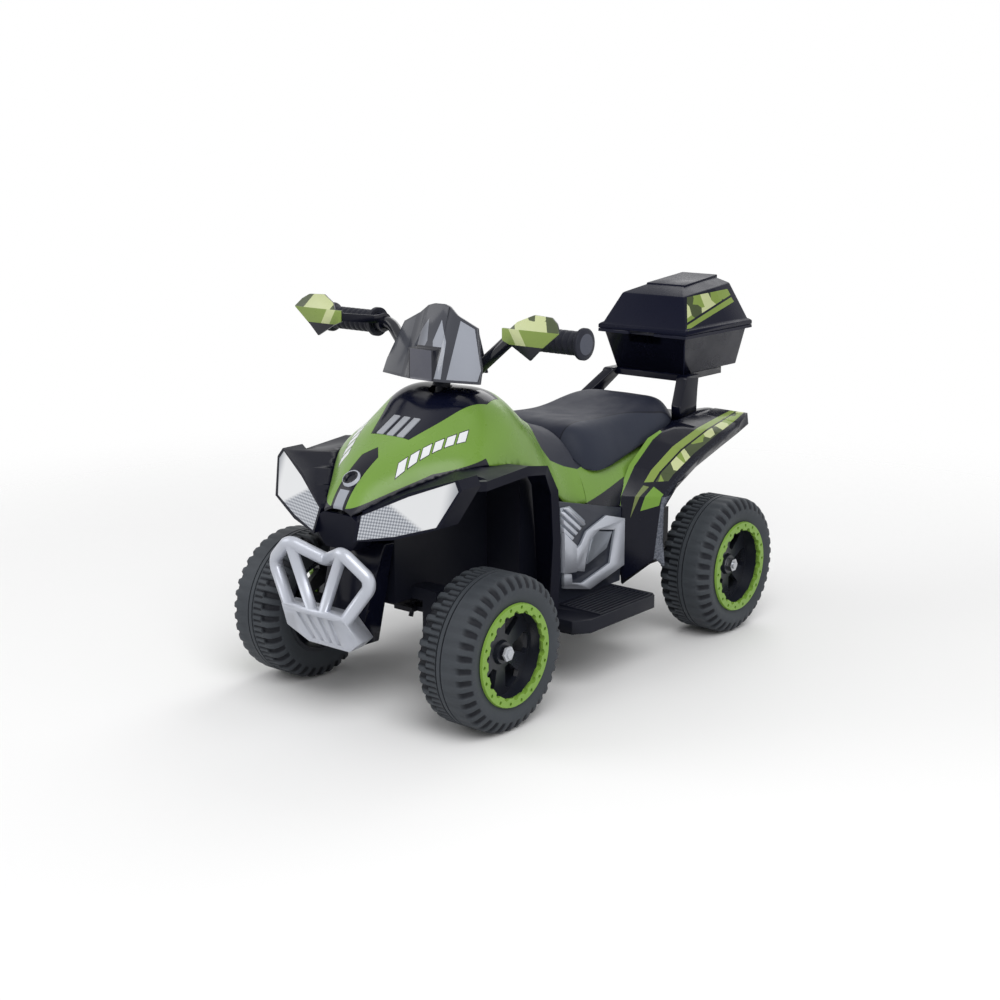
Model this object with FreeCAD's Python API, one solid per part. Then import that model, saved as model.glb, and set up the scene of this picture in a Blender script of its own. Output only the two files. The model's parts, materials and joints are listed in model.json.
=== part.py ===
import FreeCAD, Part
import math
import os

V = FreeCAD.Vector

# Kids quad bike. X runs across with the left side positive, Y from front to rear, Z up from the ground.
# Lengths in millimetres, angles in degrees.

tyre_diameter = 190.0
tyre_width = 78.0
tyre_wall = 5.0
tread_notches = 26
tread_depth = 3.5
wheelbase = 500.0
track_over_tyres = 392.0
front_axle_y = -289.25
front_zone = 170.0
rear_zone = 172.0
drawn_middle = 158.0

rim_diameter = 120.0
rim_wall = 4.0
rim_spokes = 6
hub_diameter = 30.0
bead_ring_diameter = 126.0
bead_ring_bore = 102.0
bead_ring_depth = 6.0
bead_bolts = 18
axle_diameter = 10.0
axle_nut_size = 16.0
axle_nut_depth = 7.0

tub_width = 90.0
tub_wall = 4.0
tub_height = 78.0
well_wall_x = 98.0
shell_wall = 3.0
king_pin_inset = 18.0
king_pin_diameter = 8.0
king_lug_depth = 8.0
king_lug_spacing = 38.0
steer_arm = 40.0
tie_pin_diameter = 6.0

caster_angle = 20.0
column_diameter = 12.0
lower_bush_radius = 9.0
upper_bush_radius = 10.0
bar_height = 450.0
bar_center_height = 400.0
bar_width = 412.0
bar_diameter = 16.0
bar_setback = 112.0
bar_center_setback = 100.0
bar_bend = 24.0
bar_end = 106.0
clamp_half = 15.0
grip_diameter = 29.0
grip_length = 88.0
grip_flange = 38.0
guard_reach = 218.0
guard_wall = 3.5
guard_forward = 60.0
guard_crease = 19.0
screen_height = 484.0
screen_wall = 3.5
screen_rake = 0.41
screen_block = 20.0
dash_tilt = 15.0
dash_depth = 16.0
dash_face = 46.0
dash_foot_half = 40.0
dash_head_half = 37.0
dash_lip = 3.0
button_diameter = 13.0
button_travel = 2.0
button_x = (-14.0, 14.0)
button_up = 33.0
switch_x = (-26.0, 26.0)
switch_up = 13.0
switch_width = 12.0
switch_length = 20.0
rocker_pin_diameter = 3.0

seat_height = 312.0
seat_wall = 4.0
fender_lip = 18.0
wing_lip = 12.0
footrest_height = 98.0
footrest_reach = 187.0
footrest_depth = 17.0
footrest_grooves = 9
tread_rise = 2.0
bolster_depth = 6.0
engine_panel_x = 106.0
engine_panel_depth = 6.0

box_floor_height = 345.0
box_rim_height = 404.0
box_length = 180.0
box_width = 152.0
box_wall = 2.5
lid_height = 75.0
hinge_pin_diameter = 4.0
hinge_barrel_diameter = 8.0

lens_depth = 3.0
lamp_depth = 34.0
bezel = 4.0
lamp_plane_y = -92.0
lamp_sweep = 0.251
lamp_lean = 0.385

bumper_tube = 16.0
gear_module = 1.0
output_teeth = 42
middle_small_teeth = 12
middle_large_teeth = 36
pinion_teeth = 10
gear_width = 8.0
middle_gear_rise = 30.0
pinion_rise = 10.0
motor_diameter = 28.0
motor_length = 38.0
motor_shaft = 2.4
shaft_boss = 5.0
gear_pin = 6.0
case_wall = 2.5
socket_radius = 6.0
socket_bore = 2.75
battery_length = 47.0
battery_width = 70.0
battery_height = 100.0
pedal_width = 38.0
pedal_length = 62.0
pedal_pin = 5.0
screw_diameter = 4.0
screw_head = 8.0

running_gap = 0.05
moving_gap = 0.4
panel_gap = 0.3

tyre_radius = tyre_diameter / 2
axle_z = tyre_radius
rear_axle_y = front_axle_y + wheelbase
stretch = (wheelbase - front_zone - rear_zone) / drawn_middle
wheel_outer_x = track_over_tyres / 2
wheel_inner_x = wheel_outer_x - tyre_width
king_pin_x = wheel_inner_x - king_pin_inset
tub_x = tub_width / 2
tub_bottom = axle_z - 23
tub_top = tub_bottom + tub_height
tub_front = front_axle_y + 132
tub_rear = rear_axle_y + 44
axle_radius = axle_diameter / 2
bar_y = front_axle_y + bar_setback
bar_center_y = front_axle_y + bar_center_setback
bulkhead_front = front_axle_y - 44
bulkhead_bottom = axle_z + 45
column_radius = column_diameter / 2
bar_radius = bar_diameter / 2
caster = math.radians(caster_angle)
column_up = V(0, math.sin(caster), math.cos(caster))
column_back = V(0, math.cos(caster), -math.sin(caster))
upper_bush_height = axle_z + 200
tie_y = front_axle_y + steer_arm
tie_bottom = axle_z + 13
tie_top = tie_bottom + 6
socket_x = 20.0
socket_z = tub_top - 30
box_front_y = rear_axle_y + 30
box_rear_y = box_front_y + box_length
hinge_y = box_rear_y + hinge_barrel_diameter / 2 + 0.5
hinge_z = box_rim_height
web_x = wheel_inner_x + tyre_width - 32
hub_face_x = web_x + 14
axle_nut_x = hub_face_x + moving_gap
axle_end_x = axle_nut_x + axle_nut_depth + 2
grip_start = bar_width / 2 + 4 - grip_length
case_inner_x = -tub_x - 13
case_outer_x = -wheel_inner_x + 3
output_x = case_outer_x + 8
large_x = output_x + gear_width + 3
middle_reach = gear_module * (output_teeth + middle_small_teeth) / 2
middle_y = rear_axle_y - middle_reach * math.cos(math.radians(middle_gear_rise))
middle_z = axle_z + middle_reach * math.sin(math.radians(middle_gear_rise))
pinion_reach = gear_module * (middle_large_teeth + pinion_teeth) / 2
pinion_y = middle_y - pinion_reach * math.cos(math.radians(pinion_rise))
pinion_z = middle_z + pinion_reach * math.sin(math.radians(pinion_rise))
pedal_heel_z = footrest_height + 9
pedal_run = pedal_length * stretch
pedal_x1 = -engine_panel_x - 16
pedal_x0 = pedal_x1 - pedal_width


def front_y(dy):
    """Place behind the front axle: past the front wheel's zone the drawn lengths stretch with the wheelbase."""
    return front_axle_y + dy + max(dy - front_zone, 0) * (stretch - 1)


def rear_y(dy):
    """Place behind the rear axle: ahead of the rear wheel's zone the drawn lengths stretch with the wheelbase."""
    return rear_axle_y + dy + min(dy + rear_zone, 0) * (stretch - 1)


pedal_heel_y = front_y(248)


def front(x, dy, dz):
    """Point placed from the front axle."""
    return V(x, front_y(dy), axle_z + dz)


def rear(x, dy, dz):
    """Point placed from the rear axle."""
    return V(x, rear_y(dy), axle_z + dz)


def column_point(z):
    """Point of the steering axis at height z."""
    return V(0, bar_center_y - (bar_center_height - z) * math.tan(caster), z)


def box(x0, x1, y0, y1, z0, z1):
    return Part.makeBox(x1 - x0, y1 - y0, z1 - z0, V(x0, y0, z0))


def rod(radius, start, end):
    return Part.makeCylinder(radius, (end - start).Length, start, end - start)


def tube(outer, inner, start, end):
    return rod(outer, start, end).cut(rod(inner, start, end))


def outline(points):
    return Part.makePolygon(list(points) + [points[0]])


def plate(points, depth):
    """Flat outline pushed along the vector depth."""
    return Part.Face(outline(points)).extrude(depth)


def loft(wires, ruled=False):
    solid = Part.makeLoft(wires, True, ruled)
    if solid.Volume < 0:
        solid.reverse()
    return solid


def mirrored(shape):
    return shape.mirror(V(0, 0, 0), V(1, 0, 0))


def both_sides(shape):
    return [shape, mirrored(shape)]


def turned(profile, y, z):
    """Profile of (x, radius) points turned about a crosswise axis."""
    face = Part.Face(outline([V(x, y, z + r) for x, r in profile]))
    return face.revolve(V(0, y, z), V(1, 0, 0), 360)


def bent_bar(points, radius, bend):
    """Round bar along straight runs joined by bends."""
    edges = []
    begin = points[0]
    for before, corner, after in zip(points, points[1:], points[2:]):
        into = (corner - before).normalize()
        out = (after - corner).normalize()
        turn = into.getAngle(out)
        cut = bend * math.tan(turn / 2)
        first = corner - into * cut
        last = corner + out * cut
        inward = (out - into).normalize()
        middle = corner + inward * (bend / math.cos(turn / 2) - bend)
        edges.append(Part.makeLine(begin, first))
        edges.append(Part.Arc(first, middle, last).toShape())
        begin = last
    edges.append(Part.makeLine(begin, points[-1]))
    path = Part.Wire(edges)
    ring = Part.Wire(Part.makeCircle(radius, points[0], points[1] - points[0]))
    return path.makePipeShell([ring], True, True)


def spline(points):
    curve = Part.BSplineCurve()
    curve.interpolate(points)
    return curve.toShape()


def inset(points, depth):
    """Half section points moved inward by depth."""
    moved = []
    last = len(points) - 1
    for i, (x, z) in enumerate(points):
        xa, za = points[max(i - 1, 0)]
        xb, zb = points[min(i + 1, last)]
        if i == 0:
            xa, za = -xb, zb
        run = math.hypot(xb - xa, zb - za)
        moved.append((x + (zb - za) / run * depth, z - (xb - xa) / run * depth))
    return moved


def arch_edge(half, y):
    left = [V(x, y, z) for x, z in reversed(half)]
    right = [V(-x, y, z) for x, z in half[1:]]
    return spline(left + right)


def arch_fill(half, y):
    """Closed section under an arch."""
    top = arch_edge(half, y)
    return Part.Wire([top, Part.makeLine(top.Vertexes[-1].Point, top.Vertexes[0].Point)])


def arch_core(half, y, floor):
    """Closed section under an arch whose sides run straight down to the floor."""
    top = arch_edge(half, y)
    a, b = top.Vertexes[0].Point, top.Vertexes[-1].Point
    low_a, low_b = V(a.x, y, floor), V(b.x, y, floor)
    return Part.Wire([top, Part.makeLine(b, low_b), Part.makeLine(low_b, low_a), Part.makeLine(low_a, a)])


def arch_band(half, y, depth):
    """Closed section of an arch with a wall."""
    outer = arch_edge(half, y)
    inner = arch_edge(inset(half, depth), y)
    a, b = outer.Vertexes[0].Point, outer.Vertexes[-1].Point
    c, d = inner.Vertexes[0].Point, inner.Vertexes[-1].Point
    return Part.Wire([outer, Part.makeLine(b, d), inner, Part.makeLine(c, a)])


def band_section(inner, outer, down, wall, lip):
    """Section of a fender: a sloping wall with a lip hanging from its outer edge."""
    across = (outer - inner).normalize()
    drop = down - across * down.dot(across)
    drop.normalize()
    return outline([
        inner,
        outer,
        outer + drop * lip,
        outer + drop * lip - across * wall,
        outer + drop * wall - across * wall,
        inner + drop * wall,
    ])


# Half sections of the hood: distance from the front axle, then (x, height over the axle) from the crown down.
hood_stations = [
    (-92, [(0, 167), (8, 166.5), (14, 165), (19, 163), (23, 160)]),
    (-71, [(0, 194), (12, 193), (24, 188), (33, 180), (39, 170)]),
    (-43, [(0, 215), (20, 213), (38, 206), (51, 196), (59, 184)]),
    (-13, [(0, 232), (30, 230), (52, 223), (71, 211), (82, 197)]),
    (42, [(0, 262), (46, 258), (78, 240), (102, 220), (111, 208)]),
    (92, [(0, 285), (58, 280), (88, 252), (108, 216), (114, 200)]),
    (142, [(0, 279), (46, 275), (78, 251), (102, 209), (110, 186)]),
    (202, [(0, 240), (36, 236), (64, 217), (88, 183), (102, 143)]),
    (257, [(0, 216), (34, 214), (62, 201), (90, 167), (106, 123)]),
]

# Half sections of the middle body: distance from the rear axle, then (x, height over the axle).
middle_stations = [
    (-242, [(0, 190), (44, 188), (70, 182), (92, 160), (106, 121)]),
    (-180, [(0, 178), (46, 176), (76, 168), (98, 146), (108, 102)]),
    (-110, [(0, 176), (48, 174), (80, 168), (96, 152), (100, 132)]),
    (-58, [(0, 180), (50, 178), (80, 173), (94, 162), (97, 146)]),
]

# Half sections of the rear deck: distance from the rear axle, then (x, height over the axle).
deck_stations = [
    (-57.7, [(0, 180), (50, 178), (80, 173), (94, 162), (97, 146)]),
    (0, [(0, 186), (50, 188), (80, 195), (97, 196), (103, 172)]),
    (78, [(0, 192), (50, 194), (80, 201), (97, 201), (103, 182)]),
]

# Half sections of the seat: distance from the rear axle, then (x, height against the seat height).
seat_stations = [
    (-240, [(0, -12), (30, -13), (54, -18), (66, -29), (70, -40)]),
    (-212, [(0, 1), (34, 1), (66, -2), (88, -27), (96, -58)]),
    (-150, [(0, -2), (36, -1), (66, -3), (86, -24), (95, -52)]),
    (-80, [(0, 3), (36, 5), (64, 3), (82, -14), (91, -38)]),
    (-30, [(0, 10), (34, 11), (60, 8), (76, -5), (86, -27)]),
    (2, [(0, 7), (30, 6), (52, 3), (66, -8), (76, -25)]),
]

# Rear fender: (x, distance from the rear axle, height over it) of the inner and of the outer edge.
fender_stations = [
    ((108, -164, -3), (150, -142, 36)),
    ((106, -170, 55), (150, -134, 70)),
    ((104, -170, 118), (150, -124, 115)),
    ((100, -138, 155), (150, -88, 137)),
    ((97, -90, 184), (150, -38, 157)),
    ((97, -28, 198), (150, 25, 177)),
    ((97, 32, 202), (150, 62, 189)),
    ((97, 80, 202), (148, 85, 200)),
]

def raised(points):
    """Half section points lifted from the axle height."""
    return [(x, axle_z + z) for x, z in points]


def shell(stations, place_y):
    return loft([arch_band(raised(p), place_y(dy), shell_wall) for dy, p in stations])


def fill(stations, place_y):
    return loft([arch_fill(raised(p), place_y(dy)) for dy, p in stations])


def core(stations, place_y):
    """Room under a shell, clear of its wall, down to the floor of the tub."""
    depth = shell_wall + panel_gap
    return loft([arch_core(inset(raised(p), depth), place_y(dy), tub_bottom) for dy, p in stations])


def hood_fill():
    return fill(hood_stations, front_y)


def middle_fill():
    return fill(middle_stations, rear_y)


def deck_fill():
    return fill(deck_stations, rear_y)


def panel_cutter(gap):
    """Upright prism over the black top of the hood."""
    corners = [(31, -1), (72, 96), (64, 128), (-64, 128), (-72, 96), (-31, -1)]
    centre = front(0, 70, 0)
    points = []
    for x, dy in corners:
        p = front(x, dy, 150)
        away = V(p.x, p.y - centre.y, 0).normalize()
        points.append(p + away * gap)
    return plate(points, V(0, 0, 200))


def strip_cutter(gap):
    """Upright prism over the black strip of the nose."""
    points = [front(11 + gap, -110, 120), front(13 + gap, -36 + gap, 120), front(0, -22 + gap, 120),
              front(-13 - gap, -36 + gap, 120), front(-11 - gap, -110, 120)]
    return plate(points, V(0, 0, 200))


def column_hole(extra):
    z = bar_center_height
    return rod(column_radius + extra, column_point(z - 60), column_point(z + 20))


def hood_parts():
    whole = shell(hood_stations, front_y)
    panel = whole.common(panel_cutter(0)).cut(column_hole(8))
    strip = whole.common(strip_cutter(0))
    facing = V(0, -0.6, 0.8)
    ring_center = front(0, -68, 196.5) - facing * 2
    ring = tube(11, 8, ring_center, ring_center + facing * 5)
    strip = strip.fuse(ring)
    cover = whole.cut(panel_cutter(panel_gap)).cut(strip_cutter(panel_gap))
    return cover, panel, strip


# Outline of the left headlight lens as (x, height over the axle), lying in one leaning plane.
lamp_outline = [(36, 133), (34, 160), (88, 187), (141, 208), (148, 198), (131, 157), (83, 142)]


def lamp_points(margin, back):
    """Corners of the lamp outline moved outward by margin and rearward by back."""
    cx = sum(x for x, z in lamp_outline) / len(lamp_outline)
    cz = sum(z for x, z in lamp_outline) / len(lamp_outline)
    points = []
    for x, z in lamp_outline:
        away = math.hypot(x - cx, z - cz)
        px = x + (x - cx) / away * margin
        pz = z + (z - cz) / away * margin
        dy = lamp_plane_y + lamp_sweep * (px - 33) + lamp_lean * (pz - 154) + back
        points.append(front(px, dy, pz))
    return points


def lamp_body(margin, start, end):
    return plate(lamp_points(margin, start), V(0, end - start, 0))


def headlights():
    lens = lamp_body(-0.3, 1, 1 + lens_depth)
    bowl = lamp_body(-0.3, 1 + lens_depth, lamp_depth)
    hollow = lamp_body(-2.5, 1 + lens_depth, lamp_depth - 3)
    reflector = bowl.cut(hollow)
    bulbs = []
    for x, dz in ((66, 163), (112, 182)):
        dy = lamp_plane_y + lamp_sweep * (x - 33) + lamp_lean * (dz - 154)
        seat = front(x, dy + lamp_depth - 3, dz)
        bulbs.append(rod(7, seat, seat - V(0, 14, 0)))
    reflector = reflector.multiFuse(bulbs)
    return lens, reflector


def front_fender():
    """Left wing from the nose along the lamp, over the front wheel and down to the footrest."""
    foot = footrest_height - axle_z
    stations = [
        ((30, -82, 164), (42, -88, 162), V(0, 0, -1)),
        ((50, -53, 180), (72, -74, 178), V(0, 0, -1)),
        ((73, -23, 193), (104, -59, 193), V(0, 0, -1)),
        ((94, 10, 206), (143, -43, 208), V(0, 0, -1)),
        ((106, 42, 208), (150, 2, 202), V(0, 0, -1)),
        ((110, 87, 204), (152, 77, 208), V(0, 0, -1)),
        ((107, 127, 190), (151, 116, 202), V(0, -0.5, -0.9)),
        ((102, 150, 167), (150, 139, 167), V(0, -1, -0.3)),
        ((100, 160, 105), (150, 145, 103), V(0, -1, 0)),
        ((100, 166, 35), (150, 142, 35), V(0, -1, 0)),
        ((100, 166, foot), (148, 142, foot), V(0, -1, 0)),
    ]
    return loft([band_section(front(*a), front(*b), d, shell_wall, wing_lip) for a, b, d in stations], True)


def front_fascia():
    """Lamp frames, front wings and the chin between them in one moulding."""
    lamp = lamp_body(0, -20, lamp_depth + 20)
    frame = lamp_body(bezel, 0, lamp_depth)
    side = frame.fuse(front_fender()).cut(lamp)
    chin_half = [(23, 158), (36, 150), (38, 132), (20, 116)]
    chin_outline = chin_half + [(-x, dz) for x, dz in reversed(chin_half)]
    chin = plate([front(x, -93, dz) for x, dz in chin_outline], V(0, 28, 0))
    chin = chin.cut(lamp).cut(mirrored(lamp))
    room = hood_fill()
    wings = [wing.cut(room) for wing in both_sides(side)]
    return chin.cut(room).multiFuse(wings)


def chassis_tub():
    """Open tub under the seat with bearers for the rear axle and posts up to the body."""
    outer = box(-tub_x, tub_x, tub_front, tub_rear, tub_bottom, tub_top)
    inside = box(-tub_x + tub_wall, tub_x - tub_wall, tub_front + tub_wall, tub_rear - tub_wall,
                 tub_bottom + tub_wall, tub_top + 1)
    tub = outer.cut(inside)
    extra = []
    for side in (-1, 1):
        x0, x1 = sorted((side * (tub_x - 1), side * (tub_x + 12)))
        extra.append(box(x0, x1, rear_axle_y - 14, rear_axle_y + 14, axle_z - 14, axle_z + 14))
        for y, stations in ((rear_axle_y - 120, middle_stations), (rear_axle_y + 28, deck_stations)):
            foot = V(side * (tub_x - 9), y, tub_bottom + 1)
            extra.append(rod(7, foot, foot + V(0, 0, 400)).common(core(stations, rear_y)))
    tub = tub.multiFuse(extra)
    holes = screw_shanks(running_gap)
    holes += [rod(axle_radius, V(-tub_x - 20, rear_axle_y, axle_z), V(tub_x + 20, rear_axle_y, axle_z)),
             rod(shaft_boss, V(-tub_x - 2, pinion_y, pinion_z), V(-tub_x + 10, pinion_y, pinion_z)),
             rod(socket_radius, V(socket_x, tub_rear - 8, socket_z), V(socket_x, tub_rear + 2, socket_z))]
    return tub.cut(Part.makeCompound(holes))


def front_bulkhead():
    """Hollow tower with the column bearings, a wall behind each front wheel and a leg to each king pin."""
    y0, y1 = bulkhead_front, tub_front
    low, top = bulkhead_bottom, axle_z + 300
    outer = box(-tub_x, tub_x, y0, y1, low, top)
    inner = box(-tub_x + tub_wall, tub_x - tub_wall, y0 + tub_wall, y1 - tub_wall, low + tub_wall, top + 1)
    shelf = box(-tub_x, tub_x, y0, y1, upper_bush_height, upper_bush_height + 8)
    boss = rod(14, column_point(low - 20), column_point(low + 20))
    boss = boss.common(box(-20, 20, y0 + 1, y1 - 1, low, low + 60))
    wings = []
    for side in (-1, 1):
        x0, x1 = sorted((side * (tub_x - 2), side * well_wall_x))
        wings.append(box(x0, x1, y1 - tub_wall, y1, footrest_height + 2, top))
        x0, x1 = sorted((side * (well_wall_x - tub_wall), side * well_wall_x))
        wings.append(box(x0, x1, y1 - tub_wall, y1 + 38, footrest_height + 2, top))
    tower = outer.cut(inner).multiFuse([shelf, boss] + wings).common(core(hood_stations, front_y))
    legs = []
    for side in (-1, 1):
        x0, x1 = sorted((side * (king_pin_x - 38), side * (king_pin_x - 16)))
        legs.append(box(x0, x1, front_axle_y - 14, front_axle_y + 14, tub_bottom, low + 15))
        x0, x1 = sorted((side * (tub_x - 2), side * (king_pin_x - 20)))
        legs.append(box(x0, x1, front_axle_y - 14, front_axle_y + 14, low, low + 15))
        for z0 in (tub_bottom, tub_bottom + king_lug_spacing):
            x0, x1 = sorted((side * (king_pin_x - 20), side * (king_pin_x + 11)))
            legs.append(box(x0, x1, front_axle_y - 12, front_axle_y + 12, z0, z0 + king_lug_depth))
    tower = tower.multiFuse(legs)
    high = upper_bush_height
    holes = [rod(lower_bush_radius, column_point(low - 20), column_point(low + 50)),
             rod(upper_bush_radius, column_point(high - 20), column_point(high + 30))]
    for side in (-1, 1):
        foot = V(side * king_pin_x, front_axle_y, tub_bottom - 1)
        holes.append(rod(king_pin_diameter / 2, foot, foot + V(0, 0, 60)))
    return tower.cut(Part.makeCompound(holes))


def column_bushes():
    low = column_point(bulkhead_bottom)
    lower = tube(lower_bush_radius, column_radius + running_gap, low, low + column_up * 20)
    high = column_point(upper_bush_height - 4)
    upper = tube(upper_bush_radius, column_radius + running_gap, high, high + column_up * 16)
    return Part.makeCompound([lower, upper])


def skid_plate():
    """Wedge behind the bumper, hung from the front of the tower."""
    wedge = loft([
        outline([front(-46, -44, 122), front(46, -44, 122), front(32, -60, 0), front(-32, -60, 0)]),
        outline([front(-44, -60, 122), front(44, -60, 122), front(34, -98, 2), front(-34, -98, 2)]),
    ], True)
    tab = box(-20, 20, bulkhead_front - 8, bulkhead_front, axle_z + 60, axle_z + 110)
    return wedge.fuse(tab)


def bumper():
    """Hooped tube with a V of struts over a grooved block, on two arms from the skid plate."""
    r = bumper_tube / 2
    half = [front(46, -130, 44), front(82, -120, 94), front(44, -131, 126), front(0, -112, 106)]
    path = half + [V(-p.x, p.y, p.z) for p in reversed(half[:-1])]
    hoop = bent_bar(path, r, 14)
    corners = [(50, 50), (60, 18), (34, -1), (-34, -1), (-60, 18), (-50, 50)]
    block = plate([bumper_face(x, dz) for x, dz in corners], V(0, 24, 2))
    struts = []
    for side in (-1, 1):
        struts.append(rod(r - 1, front(side * 8, -129, 44), front(side * 42, -130, 122)))
        struts.append(rod(r - 2, front(side * 26, -118, 26), front(side * 26, -86, 26)))
    whole = block.multiFuse([hoop] + struts)
    grooves = []
    for x in (-26, -9, 9, 26):
        corners = [(x - 4, 43), (x + 4, 43), (x * 0.8 + 3, 6), (x * 0.8 - 3, 6)]
        grooves.append(plate([bumper_face(a, dz) - V(0, 1, 0) for a, dz in corners], V(0, 4, 0)))
    return whole.cut(Part.makeCompound(grooves)).cut(skid_plate())


def bumper_face(x, dz):
    """Point on the leaning front face of the bumper's block."""
    return front(x, -140 + (50 - dz) * 0.55, dz)


def middle_body():
    return shell(middle_stations, rear_y)


def seat_fill(depth):
    """Block of the saddle with its surface moved in by depth."""
    sections = []
    last = len(seat_stations) - 1
    for i, (dy, half) in enumerate(seat_stations):
        shift = {0: depth, last: -depth}.get(i, 0)
        points = [(x, seat_height + z) for x, z in half]
        sections.append(arch_fill(inset(points, depth) if depth else points, rear_y(dy) + shift))
    return loft(sections)


def seat():
    """Moulded saddle shell that sits on the hood, the middle body and the rear deck."""
    whole = seat_fill(0).cut(seat_fill(seat_wall))
    return whole.cut(middle_fill()).cut(hood_fill()).cut(deck_fill())


def rear_fender():
    """Left rear fender with its turned-down outer edge."""
    hang = V(0, 0.35, -1)
    return loft([band_section(rear(*a), rear(*b), hang, shell_wall, fender_lip) for a, b in fender_stations], True)


def rear_body():
    whole = shell(deck_stations, rear_y).multiFuse(both_sides(rear_fender()))
    return whole.cut(middle_fill())


# Raised forms of the mock engine: how far each stands out, then (distance from the front axle, height over it).
engine_forms = [
    (2, [(192, 129), (211, 128), (244, 103), (244, 97), (235, 99), (210, 83), (192, 97)]),
    (8, [(193, 97), (219, 76), (220, 40), (195, 43)]),
    (5, [(197, 42), (213, 38), (215, 23), (197, 26)]),
    (4, [(220, 67), (234, 73), (246, 88), (290, 101), (332, 89), (332, 25), (255, 8), (197, 22), (199, 29),
         (238, 20), (299, 34), (309, 78), (274, 85), (254, 75), (245, 50), (242, 35), (222, 40)]),
    (2.5, [(268, 84), (305, 76), (293, 56), (249, 43), (257, 75)]),
]


def engine_form(height, points, face):
    return plate([front(face - 1, dy, dz) for dy, dz in points], V(height + 1, 0, 0))


def engine_fins(face):
    """Slanting cooling fins over the head of the mock cylinder."""
    along, across = (0.797, -0.604), (-0.604, -0.797)
    fins = []
    for i in range(5):
        dy = 199 + i * 8.5 * across[0]
        dz = 131 + i * 8.5 * across[1]
        end = (dy + 50 * along[0], dz + 50 * along[1])
        side = (5 * across[0], 5 * across[1])
        fins.append(engine_form(7, [(dy, dz), end, (end[0] + side[0], end[1] + side[1]),
                                    (dy + side[0], dz + side[1])], face))
    head = engine_form(7, engine_forms[0][1], face)
    return [fin.common(head) for fin in fins]


def engine_panel():
    """Left mock engine cover: a backing plate with a finned cylinder and a looped case in relief."""
    x0 = engine_panel_x
    low = footrest_height - axle_z
    points = [front(x0, 172, low), rear(x0, -172, low), rear(x0, -172, 104), front(x0, 188, 138)]
    base = plate(points, V(engine_panel_depth, 0, 0))
    face = x0 + engine_panel_depth
    forms = [engine_form(height, form, face) for height, form in engine_forms]
    whole = base.multiFuse(forms + engine_fins(face))
    return whole.cut(middle_body()).cut(middle_fill()).cut(hood_fill()).cut(rear_fender())


def footrest_ends():
    """Front and rear end of the footrests."""
    return front_y(139), rear_y(-192)


def screw_spots():
    """Points where a screw passes from a footrest into the tub on the left side."""
    y0, y1 = footrest_ends()
    z = tub_top - 15
    return [V(tub_x, y0 + 40, z), V(tub_x, y1 - 40, z)]


def screw_shanks(gap):
    shanks = []
    for spot in screw_spots():
        shank = rod(screw_diameter / 2 + gap, spot - V(7, 0, 0), spot + V(bolster_depth, 0, 0))
        shanks += both_sides(shank)
    return shanks


def footrest_screws():
    screws = []
    for spot in screw_spots():
        face = spot + V(bolster_depth, 0, 0)
        head = rod(screw_head / 2, face, face + V(3, 0, 0))
        screws += both_sides(rod(screw_diameter / 2, spot - V(7, 0, 0), face).fuse(head))
    return Part.makeCompound(screws)


def tray_outline(wall, z):
    """Plan of the left footrest moved in by wall."""
    y0, y1 = footrest_ends()
    reach = footrest_reach - wall
    return [V(tub_x + wall, y0 + wall, z), V(reach - 14, y0 + wall, z), V(reach, y0 + wall + 20, z),
            V(reach, y1 - wall - 8, z), V(reach - 8, y1 - wall, z), V(tub_x + wall, y1 - wall, z)]


def tread_pad():
    """Raised pad of the left footrest with closed grooves."""
    y0, y1 = footrest_ends()
    top = footrest_height + tread_rise
    x0 = engine_panel_x + engine_panel_depth + 9
    pad = box(x0, footrest_reach - 3, y0 + 44, y1 - 9, footrest_height - 1, top)
    pitch = (footrest_reach - 3 - x0 - 3) / footrest_grooves
    grooves = []
    for i in range(footrest_grooves):
        x = x0 + 3 + i * pitch
        grooves.append(box(x, x + pitch - 3, y0 + 48, y1 - 13, footrest_height, top + 1))
    return pad.cut(Part.makeCompound(grooves))


def footrest():
    """Left footrest: a grooved tray with a flange screwed to the side of the tub."""
    y0, y1 = footrest_ends()
    low = footrest_height - footrest_depth
    slab = plate(tray_outline(0, low), V(0, 0, footrest_depth))
    pocket = plate(tray_outline(4, low - 1), V(0, 0, footrest_depth - 3))
    bolster = box(tub_x, tub_x + bolster_depth, y0 + 20, y1 - 20, footrest_height - 2, tub_top)
    whole = slab.cut(pocket).multiFuse([tread_pad(), bolster])
    return whole.cut(Part.makeCompound(screw_shanks(running_gap)))


def box_points(y_front, y_rear, half_x, z):
    return [V(half_x, y_front, z), V(half_x, y_rear, z), V(-half_x, y_rear, z), V(-half_x, y_front, z)]


def box_carrier():
    """Two arms that lean in and back from the rear deck to a shelf under the box."""
    arm = loft([
        outline(arm_section(78, 94, -4, 36, 186)),
        outline(arm_section(74, 90, -1, 43, 214)),
        outline(arm_section(56, 74, 38, 70, 245)),
        outline(arm_section(54, 72, 46, 78, 254)),
    ], True)
    top = box_floor_height
    shelf = box(-58, 58, rear_axle_y + 50, rear_axle_y + 158, top - 10, top)
    above = box(-box_width, box_width, rear_axle_y - 100, rear_axle_y + 300, top, top + 50)
    return shelf.multiFuse(both_sides(arm)).cut(deck_fill()).cut(above).cut(seat())


def arm_section(x0, x1, dy0, dy1, dz):
    return [rear(x0, dy0, dz), rear(x1, dy0, dz), rear(x1, dy1, dz), rear(x0, dy1, dz)]


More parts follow.
